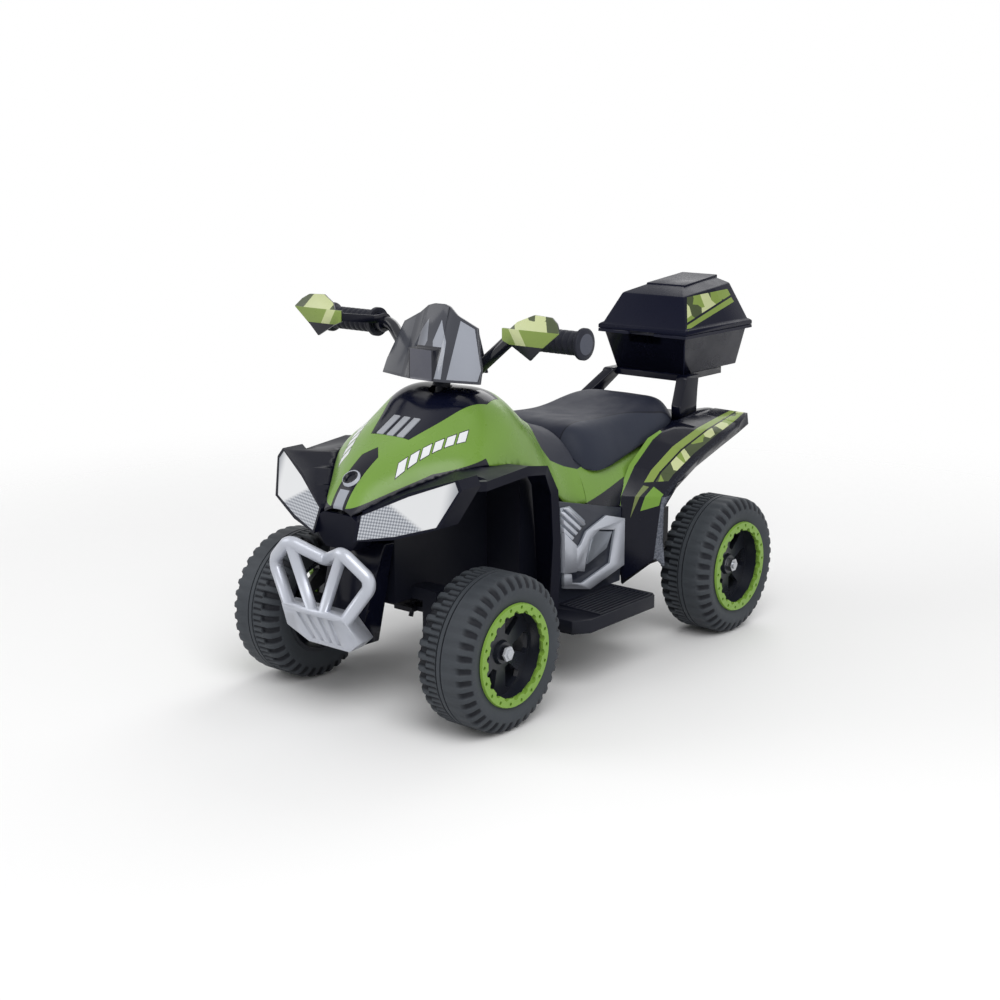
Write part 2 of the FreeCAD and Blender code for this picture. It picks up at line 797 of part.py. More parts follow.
def storage_box():
    y0, y1 = box_front_y, box_rear_y
    half = box_width / 2
    floor, rim = box_floor_height, box_rim_height
    body = loft([outline(box_points(y0 + 24, y1 - 14, half - 17, floor)),
                 outline(box_points(y0 + 6, y1 - 6, half - 5, rim))], True)
    t = box_wall
    inside = loft([outline(box_points(y0 + 24 + t, y1 - 14 - t, half - 17 - t, floor + t)),
                   outline(box_points(y0 + 6 + t, y1 - 6 - t, half - 5 - t, rim + 0.5))], True)
    flange = box(-half, half, y0, y1, rim - 5, rim)
    tub = body.fuse(flange).cut(inside)
    recess = box(-22, 22, y0 - 1, y0 + 5, rim - 6, rim + 1)
    barrels = []
    for x in (-46, 46):
        end = V(x - 9, hinge_y, hinge_z)
        barrels.append(rod(hinge_barrel_diameter / 2, end, end + V(18, 0, 0)))
        barrels.append(box(x - 9, x + 9, y1 - 2, hinge_y, rim - 5, rim - 0.5))
    whole = tub.cut(recess).multiFuse(barrels)
    return whole.cut(hinge_bore(0))


def hinge_bore(gap):
    return rod(hinge_pin_diameter / 2 + gap, V(-70, hinge_y, hinge_z), V(70, hinge_y, hinge_z))


def hinge_pin():
    return rod(hinge_pin_diameter / 2, V(-58, hinge_y, hinge_z), V(58, hinge_y, hinge_z))


def lid_layer(y_front, y_rear, half_front, half_rear, z_front, z_rear):
    left = [V(half_front, y_front, z_front), V(half_rear, y_rear, z_rear)]
    return outline(left + [V(-p.x, p.y, p.z) for p in reversed(left)])


def lid_solid(d):
    """Lid block with every face moved in by d."""
    y0, y1 = box_front_y, box_rear_y
    half = box_width / 2
    rim = box_rim_height + panel_gap
    top = box_rim_height + lid_height
    low = rim - 1 if d else rim
    return loft([
        lid_layer(y0 + d, y1 - d, half - d, half - d, low, low),
        lid_layer(y0 + d, y1 - d, half - d, half - d, rim + 6, rim + 6),
        lid_layer(y0 + 6 + d, y1 - 5 - d, half - 5 - d, half - 5 - d, rim + 9, rim + 9),
        lid_layer(y0 + 27 + d, y1 - 26 - d, half - 23 - d, half - 25 - d, top - 24 - d, top - 13 - d),
        lid_layer(y0 + 62 + d, y1 - 36 - d, half - 46 - d, half - 48 - d, top - 12 - d, top - 4 - d),
    ], True)


def box_lid():
    y1 = box_rear_y
    rim = box_rim_height + panel_gap
    barrel_start = V(-36, hinge_y, hinge_z)
    barrel = rod(hinge_barrel_diameter / 2, barrel_start, barrel_start + V(72, 0, 0))
    leaf = box(-36, 36, y1 - 4, hinge_y, rim + 1, rim + 4)
    whole = lid_solid(0).cut(lid_solid(box_wall)).multiFuse([barrel, leaf])
    return whole.cut(hinge_bore(running_gap))


def tyre():
    """Left tyre: hollow two-half moulding with a groove at the seam and notched shoulders."""
    w, r, t = tyre_width, tyre_radius, tyre_wall
    bead = rim_diameter / 2
    x0 = wheel_inner_x
    half = w / 2
    side = [(4, bead), (3, bead + 8), (0, r - 16), (4, r - 6), (10, r), (half - 2, r), (half - 1, r - 2.5)]
    hollow = [(12, r - t - 1), (4 + t, r - 6 - t), (t, r - 16), (3 + t, bead + 9), (4 + t, bead)]
    outer = side + [(w - x, rr) for x, rr in reversed(side)]
    inner = [(w - x, rr) for x, rr in reversed(hollow)] + hollow
    ring = turned([(x0 + x, rr) for x, rr in outer + inner], 0, 0)
    cutters = []
    for i in range(tread_notches):
        for phase, a, b in ((0, -2, 22), (0.5, w - 22, w + 2)):
            turn = 360.0 / tread_notches * (i + phase)
            notch = box(x0 + a, x0 + b, -4.5, 4.5, r - tread_depth, r + 5)
            notch.rotate(V(0, 0, 0), V(1, 0, 0), turn)
            cutters.append(notch)
    return ring.cut(Part.makeCompound(cutters))


def rim():
    """Left rim: barrel, spoked web and hub."""
    w = tyre_width
    r = rim_diameter / 2
    x0 = wheel_inner_x
    hub = hub_diameter / 2
    web = web_x
    bore = axle_radius + running_gap
    barrel = [(x0 + 4, r - rim_wall), (x0 + 4, r), (x0 + w - bead_ring_depth - 1, r),
              (x0 + w - bead_ring_depth - 1, r - rim_wall)]
    middle = [(x0 + 2, bore), (x0 + 2, hub), (web, hub), (web, r - rim_wall + 1), (web + 6, r - rim_wall + 1),
              (web + 9, hub), (web + 14, hub - 2), (web + 14, bore)]
    wheel = turned(barrel, 0, 0).fuse(turned(middle, 0, 0))
    windows = []
    for i in range(rim_spokes):
        turn = 360.0 / rim_spokes * (i + 0.5)
        window = [(-4, hub + 7), (4, hub + 7), (14, r - 13), (9, r - 8), (-9, r - 8), (-14, r - 13)]
        hole = plate([V(web - 5, across, out) for across, out in window], V(30, 0, 0))
        hole.rotate(V(0, 0, 0), V(1, 0, 0), turn)
        windows.append(hole)
    return wheel.cut(Part.makeCompound(windows))


def bead_ring():
    x1 = wheel_inner_x + tyre_width
    x0 = x1 - bead_ring_depth - 1
    bead = rim_diameter / 2
    outer, bore = bead_ring_diameter / 2, bead_ring_bore / 2
    ring = turned([(x0, bore + 2), (x0, bead), (x1 - 4, bead), (x1 - 3, outer), (x1, outer - 1), (x1, bore),
                   (x1 - 3, bore)], 0, 0)
    holes = []
    mid = (bead_ring_diameter + bead_ring_bore) / 4 + 1
    for i in range(bead_bolts):
        turn = 2 * math.pi * i / bead_bolts
        spot = V(x1 - 2.5, mid * math.cos(turn), mid * math.sin(turn))
        holes.append(rod(2.2, spot, spot + V(5, 0, 0)))
        turn += math.pi / bead_bolts
        spot = V(x0 - 1, (bore - 1) * math.cos(turn), (bore - 1) * math.sin(turn))
        holes.append(rod(4.5, spot, spot + V(20, 0, 0)))
    return ring.cut(Part.makeCompound(holes)).cut(tyre_bead_space())


def tyre_bead_space():
    """Space that the tyre bead takes beside the ring."""
    w = tyre_width
    bead = rim_diameter / 2
    x1 = wheel_inner_x + w
    return turned([(x1 - 12, bead), (x1 - 12, bead + 8), (x1 - 3, bead + 8), (x1 - 4, bead)], 0, 0)


def placed(shape, side, y):
    wheel = shape.copy()
    wheel.translate(V(0, y, axle_z))
    return wheel if side > 0 else mirrored(wheel)


def hex_nut(x0, x1, y, z):
    size = axle_nut_size / math.sqrt(3)
    points = [V(x0, y + size * math.cos(math.radians(60 * i)), z + size * math.sin(math.radians(60 * i)))
              for i in range(6)]
    return plate(points, V(x1 - x0, 0, 0))


def axle_nut(y):
    x0 = axle_nut_x
    nut = hex_nut(x0, x0 + axle_nut_depth, y, axle_z)
    return nut.cut(rod(axle_radius, V(x0 - 1, y, axle_z), V(x0 + 30, y, axle_z)))


def spindle():
    """Left front spindle: king pin barrel, stub axle and steering arm."""
    x, y = king_pin_x, front_axle_y
    low = tub_bottom + king_lug_depth + moving_gap
    high = tub_bottom + king_lug_spacing - moving_gap
    barrel = rod(11, V(x, y, low), V(x, y, high))
    stub = rod(axle_radius, V(x, y, axle_z), V(axle_end_x, y, axle_z))
    collar = rod(9, V(x, y, axle_z), V(wheel_inner_x + 2 - moving_gap, y, axle_z))
    arm = box(x - 6, x + 6, y, tie_y + 6, axle_z + 1, tie_bottom - moving_gap)
    pin = rod(tie_pin_diameter / 2, V(x, tie_y, axle_z + 2), V(x, tie_y, tie_top + 4))
    bore = rod(king_pin_diameter / 2 + running_gap, V(x, y, low - 1), V(x, y, high + 1))
    body = barrel.multiFuse([stub, collar, arm, pin]).cut(bore)
    return Part.makeCompound([body, axle_nut(y)])


def king_pins():
    pins = []
    for side in (-1, 1):
        foot = V(side * king_pin_x, front_axle_y, tub_bottom)
        top = foot + V(0, 0, king_lug_spacing + king_lug_depth)
        pins.append(rod(king_pin_diameter / 2, foot, top).fuse(rod(7, top, top + V(0, 0, 4))))
    return Part.makeCompound(pins)


def tie_rod():
    z0, z1 = tie_bottom, tie_top
    y = tie_y
    reach = king_pin_x + 9
    bar = box(-reach, reach, y - 12, y + 9, z0, z1)
    middle = box(-15, 15, y - 22, y + 13, z0, z1)
    whole = bar.fuse(middle)
    half = tie_pin_diameter / 2 + 0.7
    cutters = [box(-half - 0.6, half + 0.6, y - 16, y + 8, z0 - 1, z1 + 1)]
    for side in (-1, 1):
        x = side * king_pin_x
        cutters.append(box(x - half, x + half, y - 7.5, y + 4, z0 - 1, z1 + 1))
    return whole.cut(Part.makeCompound(cutters))


def crank_root():
    """Point of the steering axis where the crank arm leaves."""
    return column_point(tie_top + 19)


def steering_column():
    bottom = column_point(tie_top + 10)
    top = column_point(bar_center_height - bar_radius - 2)
    shaft = rod(column_radius, bottom, top)
    root = crank_root()
    end = root + column_back * steer_arm
    arm = rod(5, root, end)
    pin = rod(tie_pin_diameter / 2, end, end - column_up * 24)
    knee = Part.makeSphere(5, end)
    return shaft.multiFuse([arm, pin, knee])


def bar_points():
    half = bar_width / 2
    left = [V(half, bar_y, bar_height), V(half - bar_end, bar_y, bar_height),
            V(46, bar_center_y, bar_center_height)]
    return left + [V(-p.x, p.y, p.z) for p in reversed(left)]


def handlebar():
    return bent_bar(bar_points(), bar_radius, bar_bend)


def bar_clamp():
    """Block round the middle of the bar with a collar on the column."""
    y, z = bar_center_y, bar_center_height
    block = box(-clamp_half, clamp_half, y - clamp_half, y + clamp_half, z - bar_radius - 3, z + clamp_half)
    collar = rod(column_radius + 5, column_point(z - 20), column_point(z - bar_radius))
    bore = rod(bar_radius, V(-40, y, z), V(40, y, z))
    return block.fuse(collar).cut(bore).cut(steering_column())


def grip():
    """Left grip: ribbed sleeve with a collar and an end flange."""
    x0 = grip_start
    x1 = x0 + grip_length
    r = grip_diameter / 2
    profile = [(x0, bar_radius), (x0, r + 4), (x0 + 5, r + 4), (x0 + 7, r - 1)]
    steps = 8
    run = (x1 - x0 - 7 - 9) / steps
    for i in range(steps):
        a = x0 + 7 + i * run
        profile += [(a + run * 0.2, r), (a + run * 0.7, r), (a + run * 0.85, r - 1.5)]
    end = grip_flange / 2
    profile += [(x1 - 9, end - 3), (x1 - 6, end), (x1 - 2, end), (x1, r - 3), (x1, 0), (bar_width / 2, 0),
                (bar_width / 2, bar_radius)]
    return turned(profile, bar_y, bar_height)


def hand_guard():
    """Left hand guard: two facets in front of the grip on a bracket that clamps the bar."""
    h = bar_height
    y = bar_y - guard_forward
    z = h + guard_crease
    back = V(0, guard_wall, 0)
    lower = plate([V(131, y, z), V(guard_reach - 3, y, z), V(187, y, z - 22), V(173, y, z - 35),
                   V(144, y, z - 19), V(131, y, z - 14)], back)
    lean = 0.6
    edge = [(143, 0), (guard_reach - 3, 0), (207, 10), (197, 16), (171, 17), (150, 8)]
    upper = plate([V(x, y + lean * up, z + up) for x, up in edge], back)
    x0 = grip_start - 11
    sleeve = rod(bar_radius + 4, V(x0, bar_y, h), V(x0 + 10, bar_y, h))
    arm = loft([outline(guard_arm_section(x0, bar_y, h)),
                outline(guard_arm_section(x0, bar_y - 20, h)),
                outline(guard_arm_section(132, y + 1, h + 5))], True)
    bore = rod(bar_radius, V(x0 - 20, bar_y, h), V(x0 + 20, bar_y, h))
    return lower.multiFuse([upper, sleeve, arm]).cut(bore)


def guard_arm_section(x, y, z):
    return [V(x, y, z + 1), V(x + 10, y, z + 1), V(x + 10, y, z + 11), V(x, y, z + 11)]


def windshield():
    """Raked screen: a folded wall trimmed to its front outline, with a block that bolts to the clamp."""
    z0 = bar_center_height - 8
    rise = screen_height - z0
    rake = V(0, screen_rake * (rise + 6), rise + 6)
    y0 = bar_center_y - 44
    plan = [(-88, 18), (-34, 2), (-16, -2), (16, -2), (34, 2), (88, 18)]
    outer = [V(x, y0 + dy, z0) for x, dy in plan]
    inner = [V(x, y0 + dy + screen_wall, z0) for x, dy in reversed(plan)]
    wall = plate(outer + inner, rake)
    half = [(80, 0.02), (78, 0.2), (60, 0.72), (30, 0.87), (18, 0.97), (8, 1)]
    dome = [V(x, bar_center_y - 200, z0 + share * rise) for x, share in half]
    face = dome + [V(-p.x, p.y, p.z) for p in reversed(dome)]
    trim = plate(face, V(0, 400, 0))
    block = box(-screen_block, screen_block, bar_center_y - 44, bar_center_y - clamp_half, z0 + 2, z0 + 40)
    return wall.common(trim).fuse(block)


def dash_axis():
    a = math.radians(dash_tilt)
    return V(0, math.cos(a), math.sin(a))


def dash_up():
    a = math.radians(dash_tilt)
    return V(0, -math.sin(a), math.cos(a))


def dash_origin():
    return V(0, bar_center_y + clamp_half, bar_center_height - 4)


def dash_spot(x, up, out):
    return dash_origin() + V(x, 0, 0) + dash_up() * up + dash_axis() * out


def dash_outline(margin):
    low, high = dash_foot_half + margin, dash_head_half + margin
    top = dash_face + margin
    return [(-low, -margin), (low, -margin), (high, top), (-high, top)]


def dash_panel():
    """Hollow console behind the clamp with wells for the buttons and switches."""
    outer = plate([dash_spot(x, up, 0) for x, up in dash_outline(0)], dash_axis() * dash_depth)
    lip = plate([dash_spot(x, up, dash_depth) for x, up in dash_outline(dash_lip)], dash_axis() * dash_lip)
    cutters = []
    for x in button_x:
        spot = dash_spot(x, button_up, 6)
        cutters.append(rod(button_diameter / 2 + moving_gap, spot, spot + dash_axis() * 30))
    for x in switch_x:
        cutters.append(switch_well(x))
        cutters.append(rocker_pin(x, running_gap))
    y, z = bar_center_y, bar_center_height
    clear = box(-30, 30, y - 40, y + clamp_half, z - 40, z + 80)
    return outer.fuse(lip).cut(Part.makeCompound(cutters)).cut(clear)


def switch_well(x):
    w = switch_width / 2 + moving_gap
    h = switch_length / 2 + 1.5
    return plate([dash_spot(x - w, switch_up - h, 7), dash_spot(x + w, switch_up - h, 7),
                  dash_spot(x + w, switch_up + h, 7), dash_spot(x - w, switch_up + h, 7)], dash_axis() * 30)


def push_button(x):
    foot = dash_spot(x, button_up, 6 + button_travel + 0.5)
    cap = dash_spot(x, button_up, dash_depth + 3 + button_travel + 1.5)
    return rod(button_diameter / 2, foot, cap)


def rocker_pin(x, gap):
    """Pivot of a rocker, or the bore for it."""
    reach = switch_width / 2 + 2.5 + gap
    return rod(rocker_pin_diameter / 2 + gap, dash_spot(x - reach, switch_up, dash_depth + 1),
               dash_spot(x + reach, switch_up, dash_depth + 1))


def rocker(x):
    """Rocker cap that tips about a crosswise pin inside its well."""
    w = switch_width / 2
    out = dash_depth - 2
    profile = [dash_spot(x - w, switch_up - 9, out), dash_spot(x - w, switch_up + 9, out),
               dash_spot(x - w, switch_up + 9.5, out + 8), dash_spot(x - w, switch_up, out + 6),
               dash_spot(x - w, switch_up - 9.5, out + 5)]
    return plate(profile, V(switch_width, 0, 0)).fuse(rocker_pin(x, 0))


def rear_axle():
    x1 = axle_end_x
    bar = rod(axle_radius, V(-x1, rear_axle_y, axle_z), V(x1, rear_axle_y, axle_z))
    nut = axle_nut(rear_axle_y)
    return Part.makeCompound([bar, nut, mirrored(nut)])


def gear(teeth, x0, x1, y, z, bore, phase):
    """Spur gear with straight flanks."""
    pitch = gear_module * teeth / 2
    root = pitch - 1.25 * gear_module
    tip = pitch + 0.8 * gear_module
    points = []
    for i in range(teeth):
        for share, radius in ((-0.30, root), (-0.12, tip), (0.12, tip), (0.30, root)):
            turn = 2 * math.pi * (i + share + phase) / teeth
            points.append(V(x0, y + radius * math.cos(turn), z + radius * math.sin(turn)))
    blank = plate(points, V(x1 - x0, 0, 0))
    return blank.cut(rod(bore, V(x0 - 1, y, z), V(x1 + 1, y, z)))


def output_gear():
    bore = axle_radius + running_gap
    wheel = gear(output_teeth, output_x, output_x + gear_width, rear_axle_y, axle_z, bore, 0)
    boss = tube(10, bore, V(output_x, rear_axle_y, axle_z), V(-wheel_inner_x - 2, rear_axle_y, axle_z))
    return wheel.fuse(boss)


def mesh_phase(teeth, direction, other_teeth):
    """Tooth phase that fits a gear into the teeth of a neighbour from which it is seen in a direction."""
    return teeth * (direction + 180) / 360 - 0.5 + other_teeth * direction / 360


def middle_gear():
    y, z = middle_y, middle_z
    bore = gear_pin / 2 + running_gap
    phase = mesh_phase(middle_small_teeth, 180 - middle_gear_rise, output_teeth)
    small = gear(middle_small_teeth, output_x - 1, large_x + 1, y, z, bore, phase)
    large = gear(middle_large_teeth, large_x, large_x + gear_width, y, z, bore, 0)
    return small.fuse(large)


def motor_pinion():
    y, z = pinion_y, pinion_z
    phase = mesh_phase(pinion_teeth, 180 - pinion_rise, middle_large_teeth)
    wheel = gear(pinion_teeth, large_x - 1, large_x + gear_width + 2, y, z, motor_shaft / 2, phase)
    shaft = rod(motor_shaft / 2, V(large_x - 1, y, z), V(-tub_x + 8, y, z))
    return wheel.fuse(shaft)


def motor():
    y, z = pinion_y, pinion_z
    x0 = -tub_x + tub_wall
    can = rod(motor_diameter / 2, V(x0, y, z), V(x0 + motor_length, y, z))
    boss = rod(shaft_boss - 0.5, V(x0 - 3, y, z), V(x0 + 1, y, z))
    bore = rod(motor_shaft / 2 + running_gap, V(x0 - 10, y, z), V(x0 + 10, y, z))
    return can.fuse(boss).cut(bore)


def gearbox_case():
    """Two half shells that meet between the gears, with the middle gear's pin."""
    y0, y1 = pinion_y - 14, rear_axle_y + 27
    z0, z1 = axle_z - 27, axle_z + 44
    wall = case_wall
    outer = box(case_outer_x, case_inner_x, y0, y1, z0, z1)
    inner = box(case_outer_x + wall, case_inner_x - wall, y0 + wall, y1 - wall, z0 + wall, z1 - wall)
    pin = rod(gear_pin / 2, V(case_outer_x + 1, middle_y, middle_z), V(case_inner_x - 1, middle_y, middle_z))
    axle_out = V(case_outer_x, rear_axle_y, axle_z)
    axle_in = V(case_inner_x, rear_axle_y, axle_z)
    shaft = V(case_inner_x, pinion_y, pinion_z)
    across = V(4, 0, 0)
    holes = [rod(10 + moving_gap, axle_out - across, axle_out + across),
             rod(axle_radius, axle_in - across, axle_in + across),
             rod(gear_pin / 2, shaft - across, shaft + across)]
    shell = outer.cut(inner).fuse(pin).cut(Part.makeCompound(holes))
    split = output_x + gear_width + 1.5
    outer_half = shell.common(box(case_outer_x - 5, split, y0 - 5, y1 + 5, z0 - 5, z1 + 5))
    inner_half = shell.common(box(split, case_inner_x + 5, y0 - 5, y1 + 5, z0 - 5, z1 + 5))
    spacer = box(case_inner_x, -tub_x, pinion_y + 20, rear_axle_y - 18, z1 - 24, z1 - 6)
    return Part.makeCompound([outer_half, inner_half.fuse(spacer)])


def battery():
    y0 = rear_y(-270)
    half = battery_width / 2
    floor = tub_bottom + tub_wall
    top = floor + battery_height
    case = box(-half, half, y0, y0 + battery_length, floor, top)
    posts = [box(x - 3, x + 3, y0 + 8, y0 + 9, top - 1, top + 6) for x in (-22, 22)]
    return case.multiFuse(posts)


def charge_socket():
    """Round charging socket through the rear wall of the tub."""
    face = V(socket_x, tub_rear, socket_z)
    out = V(0, 1, 0)
    barrel = tube(socket_radius, socket_bore, face - out * 14, face)
    flange = tube(socket_radius + 3, socket_bore, face, face + out * 2)
    back = rod(socket_radius, face - out * 15, face - out * 14)
    return barrel.multiFuse([flange, back])


def pedal():
    """Right foot pedal that hinges at its heel."""
    y, z = pedal_heel_y, pedal_heel_z
    toe = y - pedal_run
    side = [(y + 3, z - 2), (y + 3, z + 3), (toe, z + 27), (toe - 2, z + 22)]
    tread = plate([V(pedal_x0, a, b) for a, b in side], V(pedal_width, 0, 0))
    pin = rod(pedal_pin / 2, V(pedal_x0 - 4, y, z), V(pedal_x1 + 4, y, z))
    return tread.fuse(pin)


def pedal_lugs():
    y, z = pedal_heel_y, pedal_heel_z
    bore = rod(pedal_pin / 2 + running_gap, V(pedal_x0 - 10, y, z), V(pedal_x1 + 10, y, z))
    lugs = []
    for x0, x1 in ((pedal_x0 - 5, pedal_x0 - moving_gap), (pedal_x1 + moving_gap, pedal_x1 + 5)):
        lugs.append(box(x0, x1, y - 6, y + 6, footrest_height - 1, z + 6).cut(bore))
    return lugs


def footrest_right():
    return mirrored(footrest()).multiFuse(pedal_lugs())


def build():
    parts = {}
    cover, panel, strip = hood_parts()
    parts["hood_cover"] = cover
    parts["hood_top_panel"] = panel
    parts["nose_strip"] = strip
    lens, reflector = headlights()
    parts["headlight_lenses"] = Part.makeCompound(both_sides(lens))
    parts["headlight_reflectors"] = Part.makeCompound(both_sides(reflector))
    parts["front_fascia"] = front_fascia()
    parts["chassis_tub"] = chassis_tub()
    parts["front_bulkhead"] = front_bulkhead()
    parts["column_bushes"] = column_bushes()
    parts["front_skid_plate"] = skid_plate()
    parts["front_bumper"] = bumper()
    parts["middle_body"] = middle_body()
    parts["seat"] = seat()
    parts["rear_body"] = rear_body()
    parts["engine_panel_left"] = engine_panel()
    parts["engine_panel_right"] = mirrored(engine_panel())
    parts["footrest_left"] = footrest()
    parts["footrest_right"] = footrest_right()
    parts["footrest_screws"] = footrest_screws()
    parts["box_carrier"] = box_carrier()
    parts["storage_box"] = storage_box()
    parts["lid_hinge_pin"] = hinge_pin()
    parts["box_lid"] = box_lid()
    parts["king_pins"] = king_pins()
    parts["spindle_left"] = spindle()
    parts["spindle_right"] = mirrored(spindle())
    parts["tie_rod"] = tie_rod()
    parts["steering_column"] = steering_column()
    parts["bar_clamp"] = bar_clamp()
    parts["handlebar"] = handlebar()
    parts["grips"] = Part.makeCompound(both_sides(grip()))
    parts["hand_guards"] = Part.makeCompound(both_sides(hand_guard()))
    parts["windshield"] = windshield()
    parts["dash_panel"] = dash_panel()
    parts["horn_button"] = push_button(button_x[1])
    parts["music_button"] = push_button(button_x[0])
    parts["power_switch"] = rocker(switch_x[1])
    parts["direction_switch"] = rocker(switch_x[0])
    places = {"front_left": (1, front_axle_y), "front_right": (-1, front_axle_y),
              "rear_left": (1, rear_axle_y), "rear_right": (-1, rear_axle_y)}
    wheel = {"tyre": tyre(), "rim": rim(), "bead_ring": bead_ring()}
    for place, (side, y) in places.items():
        for piece, shape in wheel.items():
            parts[piece + "_" + place] = placed(shape, side, y)
    parts["rear_axle"] = rear_axle()
    parts["output_gear"] = output_gear()
    parts["middle_gear"] = middle_gear()
    parts["motor_pinion"] = motor_pinion()
    parts["motor"] = motor()
    parts["gearbox_case"] = gearbox_case()
    parts["battery"] = battery()
    parts["charge_socket"] = charge_socket()
    parts["pedal"] = pedal()
    return parts


os.makedirs("parts", exist_ok=True)
for name, shape in build().items():
    shape.exportStep("parts/" + name + ".step")
    size = shape.BoundBox
    print(name, len(shape.Solids), shape.isValid(), round(shape.Volume), [round(v) for v in (
        size.XMin, size.XMax, size.YMin, size.YMax, size.ZMin, size.ZMax)])
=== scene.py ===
import json
import math
import bmesh
import bpy
from mathutils import Matrix, Vector


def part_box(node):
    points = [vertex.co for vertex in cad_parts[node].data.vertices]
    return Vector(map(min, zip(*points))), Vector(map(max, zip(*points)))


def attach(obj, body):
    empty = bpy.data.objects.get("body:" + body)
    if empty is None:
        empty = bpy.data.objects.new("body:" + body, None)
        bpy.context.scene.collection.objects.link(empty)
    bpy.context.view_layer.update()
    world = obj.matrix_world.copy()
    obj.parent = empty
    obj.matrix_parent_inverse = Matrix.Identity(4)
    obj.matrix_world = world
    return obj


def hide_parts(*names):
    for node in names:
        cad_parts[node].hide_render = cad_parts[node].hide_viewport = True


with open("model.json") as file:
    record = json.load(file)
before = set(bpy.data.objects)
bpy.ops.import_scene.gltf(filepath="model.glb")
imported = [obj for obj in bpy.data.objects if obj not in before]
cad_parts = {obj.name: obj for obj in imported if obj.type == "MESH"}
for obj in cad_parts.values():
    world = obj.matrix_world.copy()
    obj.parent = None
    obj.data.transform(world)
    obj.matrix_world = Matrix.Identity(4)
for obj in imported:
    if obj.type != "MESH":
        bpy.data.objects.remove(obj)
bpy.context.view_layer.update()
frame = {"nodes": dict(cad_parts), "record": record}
nodes = frame["nodes"]
scene = bpy.context.scene
print("frame loaded with", len(nodes), "nodes")


class Shade:
    # one socket of a node tree, so that masks and tones read as plain sums
    def __init__(self, tree, socket):
        self.tree = tree
        self.socket = socket

    def make(self, kind, settings=None, inputs=None, out=0):
        node = self.tree.nodes.new(kind)
        for key, value in (settings or {}).items():
            setattr(node, key, value)
        for key, value in (inputs or {}).items():
            if isinstance(value, Shade):
                self.tree.links.new(value.socket, node.inputs[key])
            else:
                node.inputs[key].default_value = value
        return Shade(self.tree, node.outputs[out])

    def math(self, operation, first, second):
        return self.make("ShaderNodeMath", {"operation": operation}, {0: first, 1: second})

    def __add__(self, other):
        return self.math("ADD", self, other)

    def __radd__(self, other):
        return self.math("ADD", other, self)

    def __sub__(self, other):
        return self.math("SUBTRACT", self, other)

    def __rsub__(self, other):
        return self.math("SUBTRACT", other, self)

    def __mul__(self, other):
        return self.math("MULTIPLY", self, other)

    def __rmul__(self, other):
        return self.math("MULTIPLY", other, self)

    def __gt__(self, other):
        return self.math("GREATER_THAN", self, other)

    def __lt__(self, other):
        return self.math("LESS_THAN", self, other)

    def __abs__(self):
        return self.math("ABSOLUTE", self, 0)

    def ramp(self, low, high, start=0.0, end=1.0):
        sockets = {"Value": self, "From Min": low, "From Max": high, "To Min": start, "To Max": end}
        return self.make("ShaderNodeMapRange", {"interpolation_type": "SMOOTHSTEP"}, sockets)

    def mix(self, first, second):
        return self.make("ShaderNodeMix", {"data_type": "RGBA"}, {0: self, 6: first, 7: second}, 2)


def screen(red, green, blue):
    # a screen colour of 0 to 255 as scene linear
    parts = [c / 255 for c in (red, green, blue)]
    return tuple(c / 12.92 if c < 0.04045 else ((c + 0.055) / 1.055) ** 2.4 for c in parts) + (1.0,)


class Place:
    # where a point of the surface is, and the textures that read it
    def __init__(self, tree):
        root = Shade(tree, None)
        self.root = root
        self.point = root.make("ShaderNodeTexCoord", out="Object")
        self.x, self.y, self.z = self.split(self.point)
        self.side = abs(self.x)

    def split(self, vector):
        first = self.root.make("ShaderNodeSeparateXYZ", None, {0: vector})
        return [Shade(first.tree, output) for output in first.socket.node.outputs]

    def noise(self, scale, detail=2.0):
        sockets = {"Vector": self.point, "Scale": scale, "Detail": detail}
        return self.root.make("ShaderNodeTexNoise", None, sockets)

    def cells(self, scale):
        sockets = {"Vector": self.point, "Scale": scale}
        colour = self.root.make("ShaderNodeTexVoronoi", None, sockets, "Color")
        return self.root.make("ShaderNodeSeparateColor", None, {0: colour})

    def facing(self):
        return self.split(self.root.make("ShaderNodeNewGeometry", out="True Normal"))

    def outward(self):
        # how far the surface faces away from the middle of the object
        return self.facing()[0] * self.root.math("SIGN", self.x, 0)

    def distance(self, spot):
        sockets = {0: self.point, 1: spot}
        return self.root.make("ShaderNodeVectorMath", {"operation": "DISTANCE"}, sockets, "Value")


def inside(u, v, corners):
    # mask of a convex outline whose corners run clockwise
    mask = 1.0
    for (u0, v0), (u1, v1) in zip(corners, corners[1:] + corners[:1]):
        mask = (((u - u0) * (v1 - v0) - (v - v0) * (u1 - u0)) > 0) * mask
    return mask


def between(value, limits):
    return (value > limits[0]) * (value < limits[1])


# what all finishes share: broad dulling, smudges and a fine bump
surface = {
    "dull": (0.45, 0.46, 0.5, 1), "dullScale": 11.0, "dullDetail": 3.0, "dullRange": (0.3, 0.7),
    "smudgeScale": 38.0, "smudgeDetail": 4.0, "smudgeRange": (0.3, 0.75), "matteRough": 0.34,
    "bump": 0.35,
}


